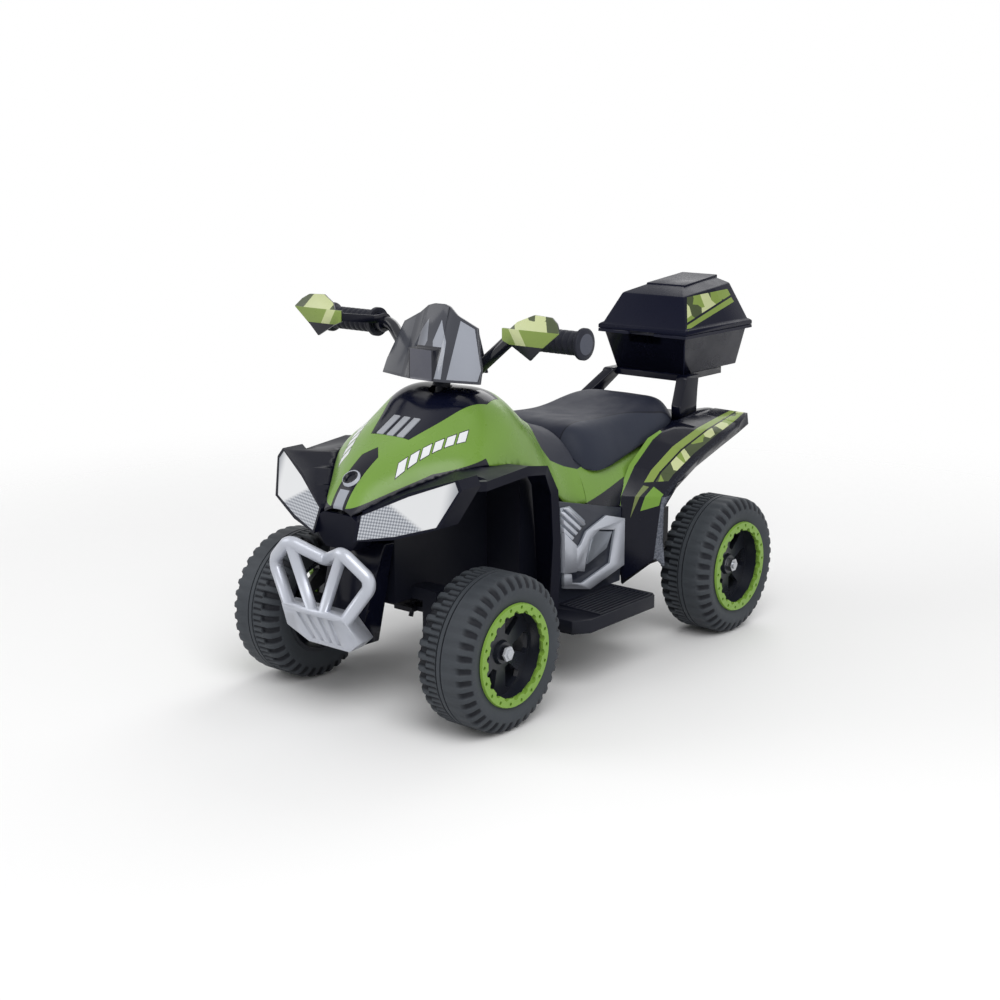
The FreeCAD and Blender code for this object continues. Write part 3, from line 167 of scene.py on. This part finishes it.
def finish(name, paint, rough=0.35, spread=0.1, grain=600.0, depth=0.02, drift=0.16, fixed=None,
           matte=None):
    # depth of the bump in mm, drift is the most that the tone dulls
    mat = bpy.data.materials.new(name)
    mat.use_nodes = True
    tree = mat.node_tree
    shader = tree.nodes["Principled BSDF"]
    for key, value in (fixed or {}).items():
        shader.inputs[key].default_value = value
    p = Place(tree)
    colour = paint(p) if callable(paint) else paint
    cloud = p.noise(surface["dullScale"], surface["dullDetail"]).ramp(*surface["dullRange"], 0.0, drift)
    dull = p.root.make("ShaderNodeMix", {"data_type": "RGBA", "blend_type": "MULTIPLY"},
                       {0: cloud, 6: colour, 7: surface["dull"]}, 2)
    smudge = p.noise(surface["smudgeScale"], surface["smudgeDetail"])
    smudge = smudge.ramp(*surface["smudgeRange"], rough - spread / 2, rough + spread / 2)
    if matte:
        smudge = smudge + matte(p) * surface["matteRough"]
    bump = p.root.make("ShaderNodeBump", None,
                       {"Strength": surface["bump"], "Distance": depth / 1000, "Height": p.noise(grain)})
    tree.links.new(dull.socket, shader.inputs["Base Color"])
    tree.links.new(smudge.socket, shader.inputs["Roughness"])
    tree.links.new(bump.socket, shader.inputs["Normal"])
    return mat


def lit(mat, glow, strength):
    shader = mat.node_tree.nodes["Principled BSDF"]
    mat.node_tree.links.new(glow(Place(mat.node_tree)).socket, shader.inputs["Emission Color"])
    shader.inputs["Emission Strength"].default_value = strength
    return mat


# camera at the angle of the photograph
photoView = {"azimuth": 39.3, "elevation": 13.4, "distance": 2.185, "target": (0, -0.08, 0.2143),
             "lens": 59.58, "sensor": 36}


def addCamera(view):
    turn, rise = math.radians(view["azimuth"]), math.radians(view["elevation"])
    flat = math.cos(rise)
    back = Vector((math.sin(turn) * flat, -math.cos(turn) * flat, math.sin(rise)))
    camera = bpy.data.objects.new("camera", bpy.data.cameras.new("camera"))
    camera.data.lens = view["lens"]
    camera.data.sensor_width = view["sensor"]
    camera.location = Vector(view["target"]) + back * view["distance"]
    camera.rotation_mode = "QUATERNION"
    camera.rotation_quaternion = (-back).to_track_quat("-Z", "Y")
    scene.collection.objects.link(camera)
    scene.camera = camera


addCamera(photoView)
scene.view_settings.view_transform = "Standard"
print("camera set")

# studio lamps: place, width, power
studio = {
    "key": ((1.5, -1.3, 2.3), 1.8, 46.0),
    "fill": ((-1.9, -1.6, 1.6), 1.6, 16.0),
    "rim": ((-0.6, 2.1, 2.0), 1.6, 22.0),
}
studioAim = (0, 0, 0.2)
worldFill = 0.5
# the floor fades into the white world between the two radii
paleFloor = {"radius": 3.0, "segments": 96, "tone": (0.9, 0.9, 0.9, 1), "rough": 0.9, "shine": 0.1,
             "fade": (0.75, 1.7)}


def addLamp(name, place, width, power):
    light = bpy.data.lights.new(name, "AREA")
    light.energy = power
    light.size = width
    holder = bpy.data.objects.new(name, light)
    holder.location = place
    holder.rotation_mode = "QUATERNION"
    holder.rotation_quaternion = (Vector(studioAim) - Vector(place)).to_track_quat("-Z", "Y")
    scene.collection.objects.link(holder)


def addWorld(fill):
    world = bpy.data.worlds.new("studio")
    scene.world = world
    world.use_nodes = True
    tree = world.node_tree
    root = Shade(tree, None)
    path = root.make("ShaderNodeLightPath", out="Is Camera Ray")
    rays = path.socket.node.outputs
    seen = path + Shade(tree, rays["Is Glossy Ray"]) + Shade(tree, rays["Is Transmission Ray"])
    strength = seen.ramp(0.0, 1.0, fill, 1.0)
    background = tree.nodes["Background"]
    background.inputs["Color"].default_value = (1, 1, 1, 1)
    tree.links.new(strength.socket, background.inputs["Strength"])


def addFloor():
    bm = bmesh.new()
    bmesh.ops.create_circle(bm, cap_ends=True, segments=paleFloor["segments"], radius=paleFloor["radius"])
    mesh = bpy.data.meshes.new("floor")
    bm.to_mesh(mesh)
    bm.free()
    floor = bpy.data.objects.new("floor", mesh)
    scene.collection.objects.link(floor)
    mat = bpy.data.materials.new("paleFloor")
    mat.use_nodes = True
    tree = mat.node_tree
    shader = tree.nodes["Principled BSDF"]
    shader.inputs["Base Color"].default_value = paleFloor["tone"]
    shader.inputs["Roughness"].default_value = paleFloor["rough"]
    shader.inputs["Specular IOR Level"].default_value = paleFloor["shine"]
    p = Place(tree)
    away = p.distance((0, 0, 0)).ramp(*paleFloor["fade"])
    clear = p.root.make("ShaderNodeBsdfTransparent")
    both = p.root.make("ShaderNodeMixShader", None, {0: away, 2: clear})
    tree.links.new(shader.outputs[0], both.socket.node.inputs[1])
    tree.links.new(both.socket, tree.nodes["Material Output"].inputs["Surface"])
    mesh.materials.append(mat)


for lampName, lampSetting in studio.items():
    addLamp(lampName, *lampSetting)
addWorld(worldFill)
addFloor()
print("studio lit")

# colours, by what they are on
tones = {
    "leafGreen": screen(114, 151, 62),
    "ringGreen": screen(126, 164, 66),
    "paleGreen": screen(196, 204, 152),
    "olive": screen(112, 124, 74),
    "darkOlive": screen(72, 82, 54),
    "lime": screen(130, 151, 74),
    "nightBlack": screen(11, 13, 27),
    "panelNavy": screen(12, 15, 33),
    "lidNavy": screen(20, 22, 38),
    "boxNavy": screen(24, 26, 42),
    "mouthShade": screen(4, 5, 12),
    "satinBlack": screen(18, 20, 30),
    "barBlack": screen(16, 18, 28),
    "seatGrey": screen(42, 46, 58),
    "seatNavy": screen(34, 37, 50),
    "seatLitFlank": screen(46, 50, 62),
    "seatCreaseShade": screen(20, 22, 32),
    "apron": screen(36, 39, 51),
    "tyreGrey": screen(64, 68, 73),
    "treadShadow": screen(26, 28, 34),
    "rimBlack": screen(30, 33, 42),
    "gripBlack": screen(26, 28, 38),
    "gripEdge": screen(36, 38, 48),
    "gripCap": screen(80, 83, 94),
    "lipHighlight": screen(104, 108, 118),
    "engineGrey": screen(150, 156, 166),
    "louvreGrey": screen(158, 161, 168),
    "silver": screen(186, 190, 200),
    "nutSilver": screen(186, 189, 196),
    "steel": screen(186, 188, 192),
    "white": screen(232, 234, 236),
    "screenGrey": screen(58, 60, 68),
    "screenShade": screen(74, 76, 83),
    "sheenAndNoseGrey": screen(150, 154, 164),
    "blockShadedRim": screen(30, 31, 40),
    "blockLitFace": screen(84, 85, 95),
    "lensGrey": screen(70, 72, 76),
    "bowlSilver": screen(210, 212, 216),
    "lampMesh": screen(122, 126, 136),
    "lampPale": screen(204, 208, 214),
    "lampWhite": screen(242, 243, 244),
    "lampTip": screen(150, 154, 160),
    "nylonWhite": screen(224, 222, 212),
    "buttonRed": screen(176, 34, 30),
    "buttonYellow": screen(216, 176, 40),
}
glossy = {"Specular IOR Level": 0.34}
deepGloss = {"Specular IOR Level": 0.2}
softGloss = {"Specular IOR Level": 0.12}
lidGloss = {"Specular IOR Level": 0.05}

# shares of the camouflage patches at which pale and dark ones start
camoShares = {"pale": 0.46, "dark": 0.74}


def camo(p, scale):
    cell = p.cells(scale)
    base = (cell > camoShares["pale"]).mix(tones["lime"], tones["paleGreen"])
    return (cell > camoShares["dark"]).mix(base, tones["darkOlive"])


# plain slanted bars on the sides of the hood, placed by length and by distance from the middle
hoodBars = {"start": (-0.326, 0.0445), "splay": 0.44, "length": 0.088, "half": 0.0056, "bars": 6,
            "fill": 0.72, "slant": 1.1, "edge": 0.0009}
# black hem trim along the hood's lower front edge; below the same line the hood's inside is painted black
# too, as painted shade
hoodHemAndShade = {"front": (-0.381, 0.255, 0.468), "rear": (-0.302, 0.292, 0.2), "width": 0.006, "end": -0.238}
# the seat's dark front runs on over the rear end of the green mouldings
seatApron = [(-0.097, 0.297), (-0.097, 0.309), (-0.086, 0.319), (-0.06, 0.331), (0.02, 0.345),
             (-0.004, 0.2622), (-0.03, 0.2598), (-0.057, 0.268), (-0.084, 0.28)]


def apronMask(p):
    return inside(p.y, p.z, seatApron)


def hoodPaint(p):
    startY, startSide = hoodBars["start"]
    along = p.y - startY
    across = p.side - startSide - along * hoodBars["splay"]
    lean = along + across * hoodBars["slant"]
    pitch = hoodBars["length"] / hoodBars["bars"]
    colour = tones["leafGreen"]
    for i in range(hoodBars["bars"]):
        first, last = i * pitch, (i + hoodBars["fill"]) * pitch
        for edge, tone in ((hoodBars["edge"], "nightBlack"), (0.0, "white")):
            bar = between(lean, (first - edge, last + edge)) * (abs(across) < hoodBars["half"] + edge)
            colour = bar.mix(colour, tones[tone])
    # black hem trim, and painted shade on the hood's inside below it
    hemAndShade = p.y < hoodHemAndShade["end"]
    for hemY, hemZ, slope in (hoodHemAndShade["front"], hoodHemAndShade["rear"]):
        hemAndShade = hemAndShade * ((p.z - (p.y - hemY) * slope) < hemZ + hoodHemAndShade["width"])
    colour = apronMask(p).mix(colour, tones["apron"])
    return hemAndShade.mix(colour, tones["nightBlack"])


sidePatch = [(-0.036, 0.2165), (0.06, 0.236), (0.06, 0.18)]


def middlePaint(p):
    colour = apronMask(p).mix(tones["leafGreen"], tones["apron"])
    return inside(p.y, p.z, sidePatch).mix(colour, tones["nightBlack"])


# bands run along the rear fender, by distance from the middle; its top is where it faces up and out
fenderBands = {
    "stripe": (0.1215, 0.1295), "camo": (0.1315, 0.1425), "cells": 62.0, "split": 0.228,
    "patch": [(0.1325, 0.2225), (0.1465, 0.213), (0.145, 0.199), (0.127, 0.192)],
    "tail": [(0.1225, 0.2245), (0.1285, 0.2225), (0.1175, 0.183)],
    "tongue": (0.1105, 0.07, 0.15), "tongueLow": 0.2,
    "lip": 0.1466, "lipTop": 0.21, "speckle": 420.0, "speckleFrom": 0.5, "speckleShare": 0.5,
    "top": (0.4, -0.65, 0.65), "topFrom": 0.1,
}


def fenderPaint(p):
    ny, nz = p.facing()[1:]
    outShare, rearShare, upShare = fenderBands["top"]
    top = (p.outward() * outShare + ny * rearShare + nz * upShare) > fenderBands["topFrom"]
    s, z = p.side, p.z
    bands = top * (z > fenderBands["split"])
    colour = (between(s, fenderBands["stripe"]) * bands).mix(tones["nightBlack"], tones["lime"])
    colour = (between(s, fenderBands["camo"]) * bands).mix(colour, camo(p, fenderBands["cells"]))
    colour = (inside(s, z, fenderBands["patch"]) * top).mix(colour, tones["leafGreen"])
    colour = (inside(s, z, fenderBands["tail"]) * top).mix(colour, tones["olive"])
    reach, taper, end = fenderBands["tongue"]
    tongue = (s < reach - p.y * taper) * (p.y < end) * (z > fenderBands["tongueLow"])
    colour = tongue.mix(colour, tones["leafGreen"])
    # the outer lip low down is painted grey as a painted highlight of its lit edge face, with dark specks of
    # its textured edge
    lip = s > fenderBands["lip"]
    colour = (lip * (z < fenderBands["lipTop"])).mix(colour, tones["lipHighlight"])
    speckle = p.noise(fenderBands["speckle"]) > fenderBands["speckleFrom"]
    return (lip * speckle * fenderBands["speckleShare"]).mix(colour, tones["seatGrey"])


lidDecal = {"camo": [(0.257, 0.421), (0.2765, 0.4545), (0.384, 0.4575), (0.388, 0.4485)],
            "stripe": [(0.2485, 0.4105), (0.2545, 0.4175), (0.388, 0.4455), (0.392, 0.4385)],
            "cells": 44.0, "flank": 0.55}


def lidPaint(p):
    flank = p.outward() > lidDecal["flank"]
    printed = inside(p.y, p.z, lidDecal["camo"]) * flank
    colour = printed.mix(tones["lidNavy"], camo(p, lidDecal["cells"]))
    return (inside(p.y, p.z, lidDecal["stripe"]) * flank).mix(colour, tones["lime"])


# painted shade in the catch recess at the front of the box, a darker patch on its front face
boxMouthShade = {"half": 0.028, "height": (0.387, 0.3985), "facing": -0.5}


def boxPaint(p):
    front = p.facing()[1] < boxMouthShade["facing"]
    recessShade = (p.side < boxMouthShade["half"]) * between(p.z, boxMouthShade["height"]) * front
    return recessShade.mix(tones["boxNavy"], tones["mouthShade"])


guardFace = {"front": -0.2362, "crease": 0.469, "lean": 0.6, "chin": 0.4505, "inner": 0.13, "slant": 0.6,
             "slash": (0.141, 0.156), "cap": (0.151, 0.198), "cells": 60.0, "pale": 0.2}


def guardPaint(p):
    rise = p.z - guardFace["crease"]
    above = rise > 0
    ahead = (p.y - (rise * above) * guardFace["lean"]) < guardFace["front"]
    run = p.side + rise * guardFace["slant"]
    pale = between(run, guardFace["cap"]) * (p.cells(guardFace["cells"]) > guardFace["pale"])
    crown = pale.mix(tones["darkOlive"], tones["paleGreen"])
    face = between(run, guardFace["slash"]).mix(tones["lime"], tones["paleGreen"])
    printed = ahead * (p.z > guardFace["chin"]) * (p.side > guardFace["inner"])
    return printed.mix(tones["nightBlack"], above.mix(face, crown))


# painted reflections on the windscreen: pale facet outlines by distance from the middle and height, lit on
# the near side and painted shade on the far side; the raised block as half width and top, painted as a lit
# face inside a shaded rim
screenReflections = {"wing": [(0.037, 0.397), (0.0365, 0.466), (0.057, 0.457), (0.0775, 0.41), (0.0765, 0.397)],
                "flameShapedReflection": [(0.0195, 0.397), (0.0045, 0.44), (0.0105, 0.466), (0.0245, 0.44), (0.0295, 0.397)],
                "block": (0.0203, 0.434), "rim": 0.0026, "sheen": (-0.03, 0.01)}


def screenPaint(p):
    s, z = p.side, p.z
    half, top = screenReflections["block"]
    rim = screenReflections["rim"]
    # painted reflection: pale on the near +x side, painted shade on the far side
    sheen = p.x.ramp(*screenReflections["sheen"]).mix(tones["screenShade"], tones["sheenAndNoseGrey"])
    block = (s < half) * (z < top)
    colour = inside(s, z, screenReflections["wing"]).mix(tones["screenGrey"], sheen)
    colour = (inside(s, z, screenReflections["flameShapedReflection"]) * (1.0 - block)).mix(colour, sheen)
    # the raised block: painted shade on its rim, a painted lit grey face inside
    colour = block.mix(colour, tones["blockShadedRim"])
    return ((s < half - rim) * (z < top - rim)).mix(colour, tones["blockLitFace"])


nose = {"ring": (0, -0.3585, 0.2925), "band": (0.0101, 0.0119), "segment": 0.28, "half": 0.0075}


def nosePaint(p):
    ring = between(p.distance(nose["ring"]), nose["band"])
    segment = (p.z < nose["segment"]) * (p.side < nose["half"])
    return ring.mix(segment.mix(tones["nightBlack"], tones["sheenAndNoseGrey"]), tones["silver"])


# the lens glows as painted light: meshed towards the middle, bright past a slanted edge and dim at its tip
lamp = {"edge": (0.058, 0.073), "height": 0.271, "slant": 2.0, "pitch": 900.0, "mesh": (-0.3, 0.4),
        "tip": (0.128, 0.15), "glow": 0.74}


def lensGlow(p):
    bright = (p.side + (p.z - lamp["height"]) * lamp["slant"]).ramp(*lamp["edge"])
    first = (p.side + p.z) * lamp["pitch"]
    second = (p.side - p.z) * lamp["pitch"]
    mesh = (first.math("SINE", first, 0) * second.math("SINE", second, 0)).ramp(*lamp["mesh"])
    glow = bright.mix(mesh.mix(tones["lampMesh"], tones["lampPale"]), tones["lampWhite"])
    return p.side.ramp(*lamp["tip"]).mix(glow, tones["lampTip"])


# distances from the middle past which the engine panel is raised grey, then silver
engineSteps = {"grey": 0.1124, "silver": 0.1152}


def enginePaint(p):
    raised = (p.side > engineSteps["grey"]).mix(tones["seatGrey"], tones["engineGrey"])
    return (p.side > engineSteps["silver"]).mix(raised, tones["silver"])


seatCrease = {"side": 0.058, "flare": (0.07, 0.17, 0.02), "width": 0.0009, "low": 0.285}


def seatPaint(p):
    start, end, flare = seatCrease["flare"]
    past = p.side - p.y.ramp(start, end, 0.0, flare) - seatCrease["side"]
    # below the crease the seat's side is painted lighter as painted light, and the dark line along the crease
    # is painted shade
    colour = (past > 0).mix(tones["seatNavy"], tones["seatLitFlank"])
    seam = (abs(past) < seatCrease["width"]) * (p.z > seatCrease["low"])
    return seam.mix(colour, tones["seatCreaseShade"])


# the outer end of a spindle is its bright nut
spindleNut = {"end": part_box("spindle_left")[1][0], "length": 0.005}


def spindlePaint(p):
    nut = p.side > spindleNut["end"] - spindleNut["length"]
    return nut.mix(tones["satinBlack"], tones["nutSilver"])


def tyrePaint(p):
    sunk = p.root.make("ShaderNodeAttribute", {"attribute_name": "sunk"}, out="Fac")
    return sunk.ramp(0.0, 1.0).mix(tones["tyreGrey"], tones["treadShadow"])


# lighter disc on the flat ends of the grips
gripEnd = {"box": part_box("grips"), "cap": 0.0125, "facing": 0.8}


def gripPaint(p):
    low, high = gripEnd["box"]
    dy, dz = p.y - (low[1] + high[1]) / 2, p.z - (low[2] + high[2]) / 2
    cap = (dy * dy + dz * dz < gripEnd["cap"] ** 2).mix(tones["gripEdge"], tones["gripCap"])
    return (abs(p.facing()[0]) > gripEnd["facing"]).mix(tones["gripBlack"], cap)


finishes = {
    "green": finish("greenPlastic", hoodPaint, 0.3, fixed=glossy, matte=apronMask),
    "side": finish("sidePlastic", middlePaint, 0.3, fixed=glossy, matte=apronMask),
    "ring": finish("ringGreen", tones["ringGreen"], 0.34, fixed=glossy),
    "black": finish("blackGloss", tones["nightBlack"], 0.2, 0.08, fixed=deepGloss),
    "fascia": finish("fasciaGloss", tones["nightBlack"], 0.4, fixed=softGloss),
    "panel": finish("panelGloss", tones["panelNavy"], 0.16, 0.06, fixed=deepGloss),
    "satin": finish("satinBlack", tones["satinBlack"], 0.48, grain=900.0, depth=0.05, fixed=deepGloss),
    "fender": finish("fenderGloss", fenderPaint, 0.24, fixed=deepGloss),
    "lid": finish("lidGloss", lidPaint, 0.3, depth=0.005, fixed=lidGloss),
    "box": finish("boxGloss", boxPaint, 0.24, depth=0.005, fixed=softGloss),
    "guard": finish("guardPrint", guardPaint, 0.32, fixed=glossy),
    "screen": finish("screenGloss", screenPaint, 0.16, fixed=glossy),
    "nose": finish("nosePlastic", nosePaint, 0.22, fixed=deepGloss),
    "seat": finish("seatPlastic", seatPaint, 0.5, grain=1500.0, depth=0.08, fixed=softGloss),
    "tyre": finish("tyrePlastic", tyrePaint, 0.62, grain=900.0, depth=0.1, drift=0.3, fixed=deepGloss),
    "rim": finish("rimBlack", tones["rimBlack"], 0.32, grain=700.0),
    "spindle": finish("spindleBlack", spindlePaint, 0.4, fixed=glossy),
    "bar": finish("barGloss", tones["barBlack"], 0.16, 0.06),
    "silver": finish("silverPaint", tones["silver"], 0.34, grain=1400.0, fixed={"Metallic": 0.35}),
    "steel": finish("plainSteel", tones["steel"], 0.3, fixed={"Metallic": 1.0}),
    "engine": finish("enginePaint", enginePaint, 0.38, fixed={"Metallic": 0.2}),
    "grip": finish("gripRubber", gripPaint, 0.6, grain=1100.0, depth=0.1, fixed=deepGloss),
    "lens": lit(finish("litLens", tones["lensGrey"], 0.12), lensGlow, lamp["glow"]),
    "bowl": finish("brightBowl", tones["bowlSilver"], 0.12, fixed={"Metallic": 0.9}),
    "louvre": finish("louvreGrey", tones["louvreGrey"], 0.3, grain=1800.0, depth=0.15, fixed=glossy),
    "nylon": finish("whiteNylon", tones["nylonWhite"], 0.45),
    "red": finish("redPlastic", tones["buttonRed"], 0.32, fixed=glossy),
    "yellow": finish("yellowPlastic", tones["buttonYellow"], 0.32, fixed=glossy),
}
wheels = ("front_left", "front_right", "rear_left", "rear_right")
wear = {
    "green": ["hood_cover"],
    "side": ["middle_body"],
    "panel": ["hood_top_panel"],
    "nose": ["nose_strip"],
    "lens": ["headlight_lenses"],
    "bowl": ["headlight_reflectors"],
    "fender": ["rear_body"],
    "lid": ["box_lid"],
    "box": ["storage_box"],
    "black": ["box_carrier", "front_skid_plate"],
    "fascia": ["front_fascia"],
    "satin": ["chassis_tub", "front_bulkhead", "footrest_left", "footrest_right", "bar_clamp", "tie_rod",
              "dash_panel", "gearbox_case", "pedal", "battery", "power_switch", "direction_switch",
              "charge_socket", "steering_column"],
    "spindle": ["spindle_left", "spindle_right"],
    "bar": ["handlebar"],
    "silver": ["front_bumper"],
    "engine": ["engine_panel_left", "engine_panel_right"],
    "seat": ["seat"],
    "screen": ["windshield"],
    "guard": ["hand_guards"],
    "grip": ["grips"],
    "nylon": ["column_bushes", "output_gear", "middle_gear"],
    "steel": ["king_pins", "lid_hinge_pin", "footrest_screws", "rear_axle", "motor", "motor_pinion"],
    "red": ["horn_button"],
    "yellow": ["music_button"],
    "tyre": ["tyre_" + wheel for wheel in wheels],
    "rim": ["rim_" + wheel for wheel in wheels],
    "ring": ["bead_ring_" + wheel for wheel in wheels],
}
finishOf = {nodeName: finishName for finishName, wearers in wear.items() for nodeName in wearers}
for nodeName, finishName in finishOf.items():
    slots = nodes[nodeName].data.materials
    slots.clear()
    slots.append(finishes[finishName])
print("finishes given to", len(finishOf), "nodes")

record = frame["record"]
bodyOf = {nodeName: body for body, members in record["behaviour"]["bodies"].items() for nodeName in members}
slotOf = {part["node"]: part["material_slot"] for part in record["subparts"]}


def stand(name, bm, finishName, body, slotName, sharp=50):
    # a finished piece from a bmesh, smooth up to the sharp angle in degrees
    mesh = bpy.data.meshes.new(name)
    bm.to_mesh(mesh)
    bm.free()
    mesh.shade_smooth()
    mesh.set_sharp_from_angle(angle=math.radians(sharp))
    mesh.materials.append(finishes[finishName])
    piece = bpy.data.objects.new(name, mesh)
    scene.collection.objects.link(piece)
    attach(piece, body)
    return piece


def roundEdges(bm, edges, width, segments=2):
    bmesh.ops.bevel(bm, geom=edges, offset=width, affect="EDGES", segments=segments, profile=0.5, material=-1)


# mouldings: width of the eased edges in mm, and the turn in degrees above which an edge is eased,
# or stays crisp where the width is 0
mouldings = {
    "hood_cover": (0, 32), "hood_top_panel": (0, 32), "nose_strip": (0, 32), "middle_body": (0, 32),
    "seat": (0, 40), "rear_body": (0, 38), "front_fascia": (0, 22), "front_bumper": (0, 40),
    "handlebar": (0, 40), "grips": (0, 40), "box_lid": (1.5, 12), "storage_box": (1.6, 20),
    "box_carrier": (1.8, 25), "windshield": (0.8, 12), "hand_guards": (0.8, 25),
    "front_skid_plate": (1.5, 20), "footrest_left": (0.6, 40), "footrest_right": (0.6, 40),
    "engine_panel_left": (0.8, 40), "engine_panel_right": (0.8, 40), "dash_panel": (0.8, 40),
}
# eased edges are at least so many widths long, and not on faces that look straight down
easing = {"weld": 0.00002, "flatTurn": 0.8, "widths": 4, "down": -0.9}


def easedEdges(bm, edge, turn):
    shortest = edge * easing["widths"] / 1000
    return [e for e in bm.edges if e.is_manifold and e.is_convex and e.calc_length() > shortest
            and e.calc_face_angle() > math.radians(turn)
            and min(f.normal.z for f in e.link_faces) > easing["down"]]


def easedCopy(nodeName, edge, turn):
    bm = bmesh.new()
    bm.from_mesh(nodes[nodeName].data)
    bmesh.ops.remove_doubles(bm, verts=bm.verts, dist=easing["weld"])
    shape = (nodeName + "_moulding", bm, finishOf[nodeName], bodyOf[nodeName], slotOf[nodeName])
    if edge:
        flatTurn = math.radians(easing["flatTurn"])
        bmesh.ops.dissolve_limit(bm, angle_limit=flatTurn, verts=bm.verts, edges=bm.edges)
        roundEdges(bm, easedEdges(bm, edge, turn), edge / 1000)
        piece = stand(*shape)
    else:
        piece = stand(*shape, turn)
    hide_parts(nodeName)


for nodeName, (edge, turn) in mouldings.items():
    easedCopy(nodeName, edge, turn)
print("mouldings eased:", len(mouldings))

# tyre section in mm from the inboard wall, as (across, radius)
tyre = {
    "section": [
        (5, 60), (2.5, 66), (0.6, 73), (0, 80), (1.8, 85.4), (4.6, 90.2), (8.2, 93.6), (12.5, 95),
        (19, 95), (20.5, 95), (33, 95), (34.6, 95), (35, 93), (36.2, 93), (36.6, 95), (41.4, 95),
        (41.8, 93), (43, 93), (43.4, 95), (46, 95), (53, 95), (64, 95), (69, 93.8), (73, 90.6),
        (76.4, 85.4), (78, 79.5), (77.4, 73), (75, 66), (73, 60), (66, 60), (69, 78), (60, 87),
        (18, 87), (9, 78), (12, 60)],
    "hub": (0.118, 0.095), "weld": 0.00001, "sharp": 38,
    "lugs": 38, "stepsPerLug": 6, "lugSteps": 3, "lugDepth": 3.8, "treadFrom": 83,
    "ribsFrom": 20, "stepsPerRib": 3, "ribSteps": 2, "ribDepth": 2.2,
    "seam": (34, 44), "seamFloor": 94, "bandTo": 66, "bandFade": 0.12,
}


def treadDepth(across, radius, step):
    # how far a point of the tread sinks between the lugs or ribs
    low, high = tyre["seam"]
    if radius < tyre["treadFrom"] or low < across < high:
        return 0.0
    if tyre["ribsFrom"] < across < low:
        return tyre["ribDepth"] if step % tyre["stepsPerRib"] >= tyre["ribSteps"] else 0.0
    fade = tyre["bandFade"] if high < across < tyre["bandTo"] else 1.0
    return tyre["lugDepth"] * fade if step % tyre["stepsPerLug"] >= tyre["lugSteps"] else 0.0


def makeTyre(wheel):
    side = 1 if wheel.endswith("left") else -1
    low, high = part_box("rim_" + wheel)
    hubX, hubZ = tyre["hub"]
    seamLow, seamHigh = tyre["seam"]
    steps = tyre["lugs"] * tyre["stepsPerLug"]
    bm = bmesh.new()
    ring = [bm.verts.new((a / 1000, 0, r / 1000)) for a, r in tyre["section"]]
    edges = [bm.edges.new(pair) for pair in zip(ring, ring[1:] + ring[:1])]
    bmesh.ops.spin(bm, geom=ring + edges, cent=(0, 0, 0), axis=(1, 0, 0), angle=math.tau, steps=steps,
                   use_merge=True)
    bmesh.ops.remove_doubles(bm, verts=bm.verts, dist=tyre["weld"])
    sunk = bm.verts.layers.float.new("sunk")
    for vert in bm.verts:
        across, radius = vert.co.x * 1000, math.hypot(vert.co.y, vert.co.z) * 1000
        step = round(math.atan2(vert.co.y, vert.co.z) / math.tau * steps) % steps
        depth = treadDepth(across, radius, step)
        inSeam = seamLow < across < seamHigh and radius < tyre["seamFloor"]
        vert[sunk] = 1.0 if inSeam else min(1.0, depth / tyre["ribDepth"])
        share = 1 - depth / radius
        vert.co.y *= share
        vert.co.z *= share
    bmesh.ops.transform(bm, verts=bm.verts, matrix=Matrix.Diagonal((side, 1, 1, 1)))
    bmesh.ops.translate(bm, verts=bm.verts, vec=(side * hubX, (low[1] + high[1]) / 2, hubZ))
    bmesh.ops.recalc_face_normals(bm, faces=bm.faces)
    name = "tyre_" + wheel
    piece = stand("knobby_" + name, bm, "tyre", "wheel_" + wheel, slotOf[name], tyre["sharp"])
    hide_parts("tyre_" + wheel)


for wheel in wheels:
    makeTyre(wheel)
print("tyres spun")

# pale louvres at the front of the black hood panel, front and rear end as (y, z)
louvre = {"across": (-0.0165, 0.0, 0.0165), "front": (-0.2905, 0.3325), "rear": (-0.2575, 0.3505),
          "width": 0.0105, "rise": 0.004, "edge": 0.0012, "segments": 3}


def makeLouvre(name, across):
    (y0, z0), (y1, z1) = louvre["front"], louvre["rear"]
    length = math.hypot(y1 - y0, z1 - z0)
    bm = bmesh.new()
    bmesh.ops.create_cube(bm, size=1.0)
    bmesh.ops.scale(bm, verts=bm.verts, vec=(louvre["width"], length, louvre["rise"]))
    roundEdges(bm, bm.edges[:], louvre["edge"], louvre["segments"])
    tilt = Matrix.Rotation(math.atan2(z1 - z0, y1 - y0), 4, "X")
    place = Matrix.Translation((across, (y0 + y1) / 2, (z0 + z1) / 2))
    bmesh.ops.transform(bm, verts=bm.verts, matrix=place @ tilt)
    stand(name, bm, "louvre", "frame", slotOf["hood_top_panel"])


for i, across in enumerate(louvre["across"]):
    makeLouvre("hood_louvre_" + str(i + 1), across)
print("louvres placed")

# raised pad on top of the lid, as (y, half width, height) of its front and rear edge
pad = {"front": (0.301, 0.0335, 0.4664), "rear": (0.3925, 0.031, 0.4753), "rise": 0.0016, "sink": 0.004,
       "edge": 0.0012, "flatTurn": 1}


def makePad():
    bm = bmesh.new()
    for lift in (-pad["sink"], pad["rise"]):
        for y, half, z in (pad["front"], pad["rear"]):
            for side in (-1, 1):
                bm.verts.new((side * half, y, z + lift))
    bmesh.ops.convex_hull(bm, input=bm.verts)
    flatTurn = math.radians(pad["flatTurn"])
    bmesh.ops.dissolve_limit(bm, angle_limit=flatTurn, verts=bm.verts, edges=bm.edges)
    roundEdges(bm, bm.edges[:], pad["edge"])
    bmesh.ops.recalc_face_normals(bm, faces=bm.faces)
    stand("lid_pad", bm, "lid", "lid", slotOf["box_lid"])


makePad()
print("pad placed")
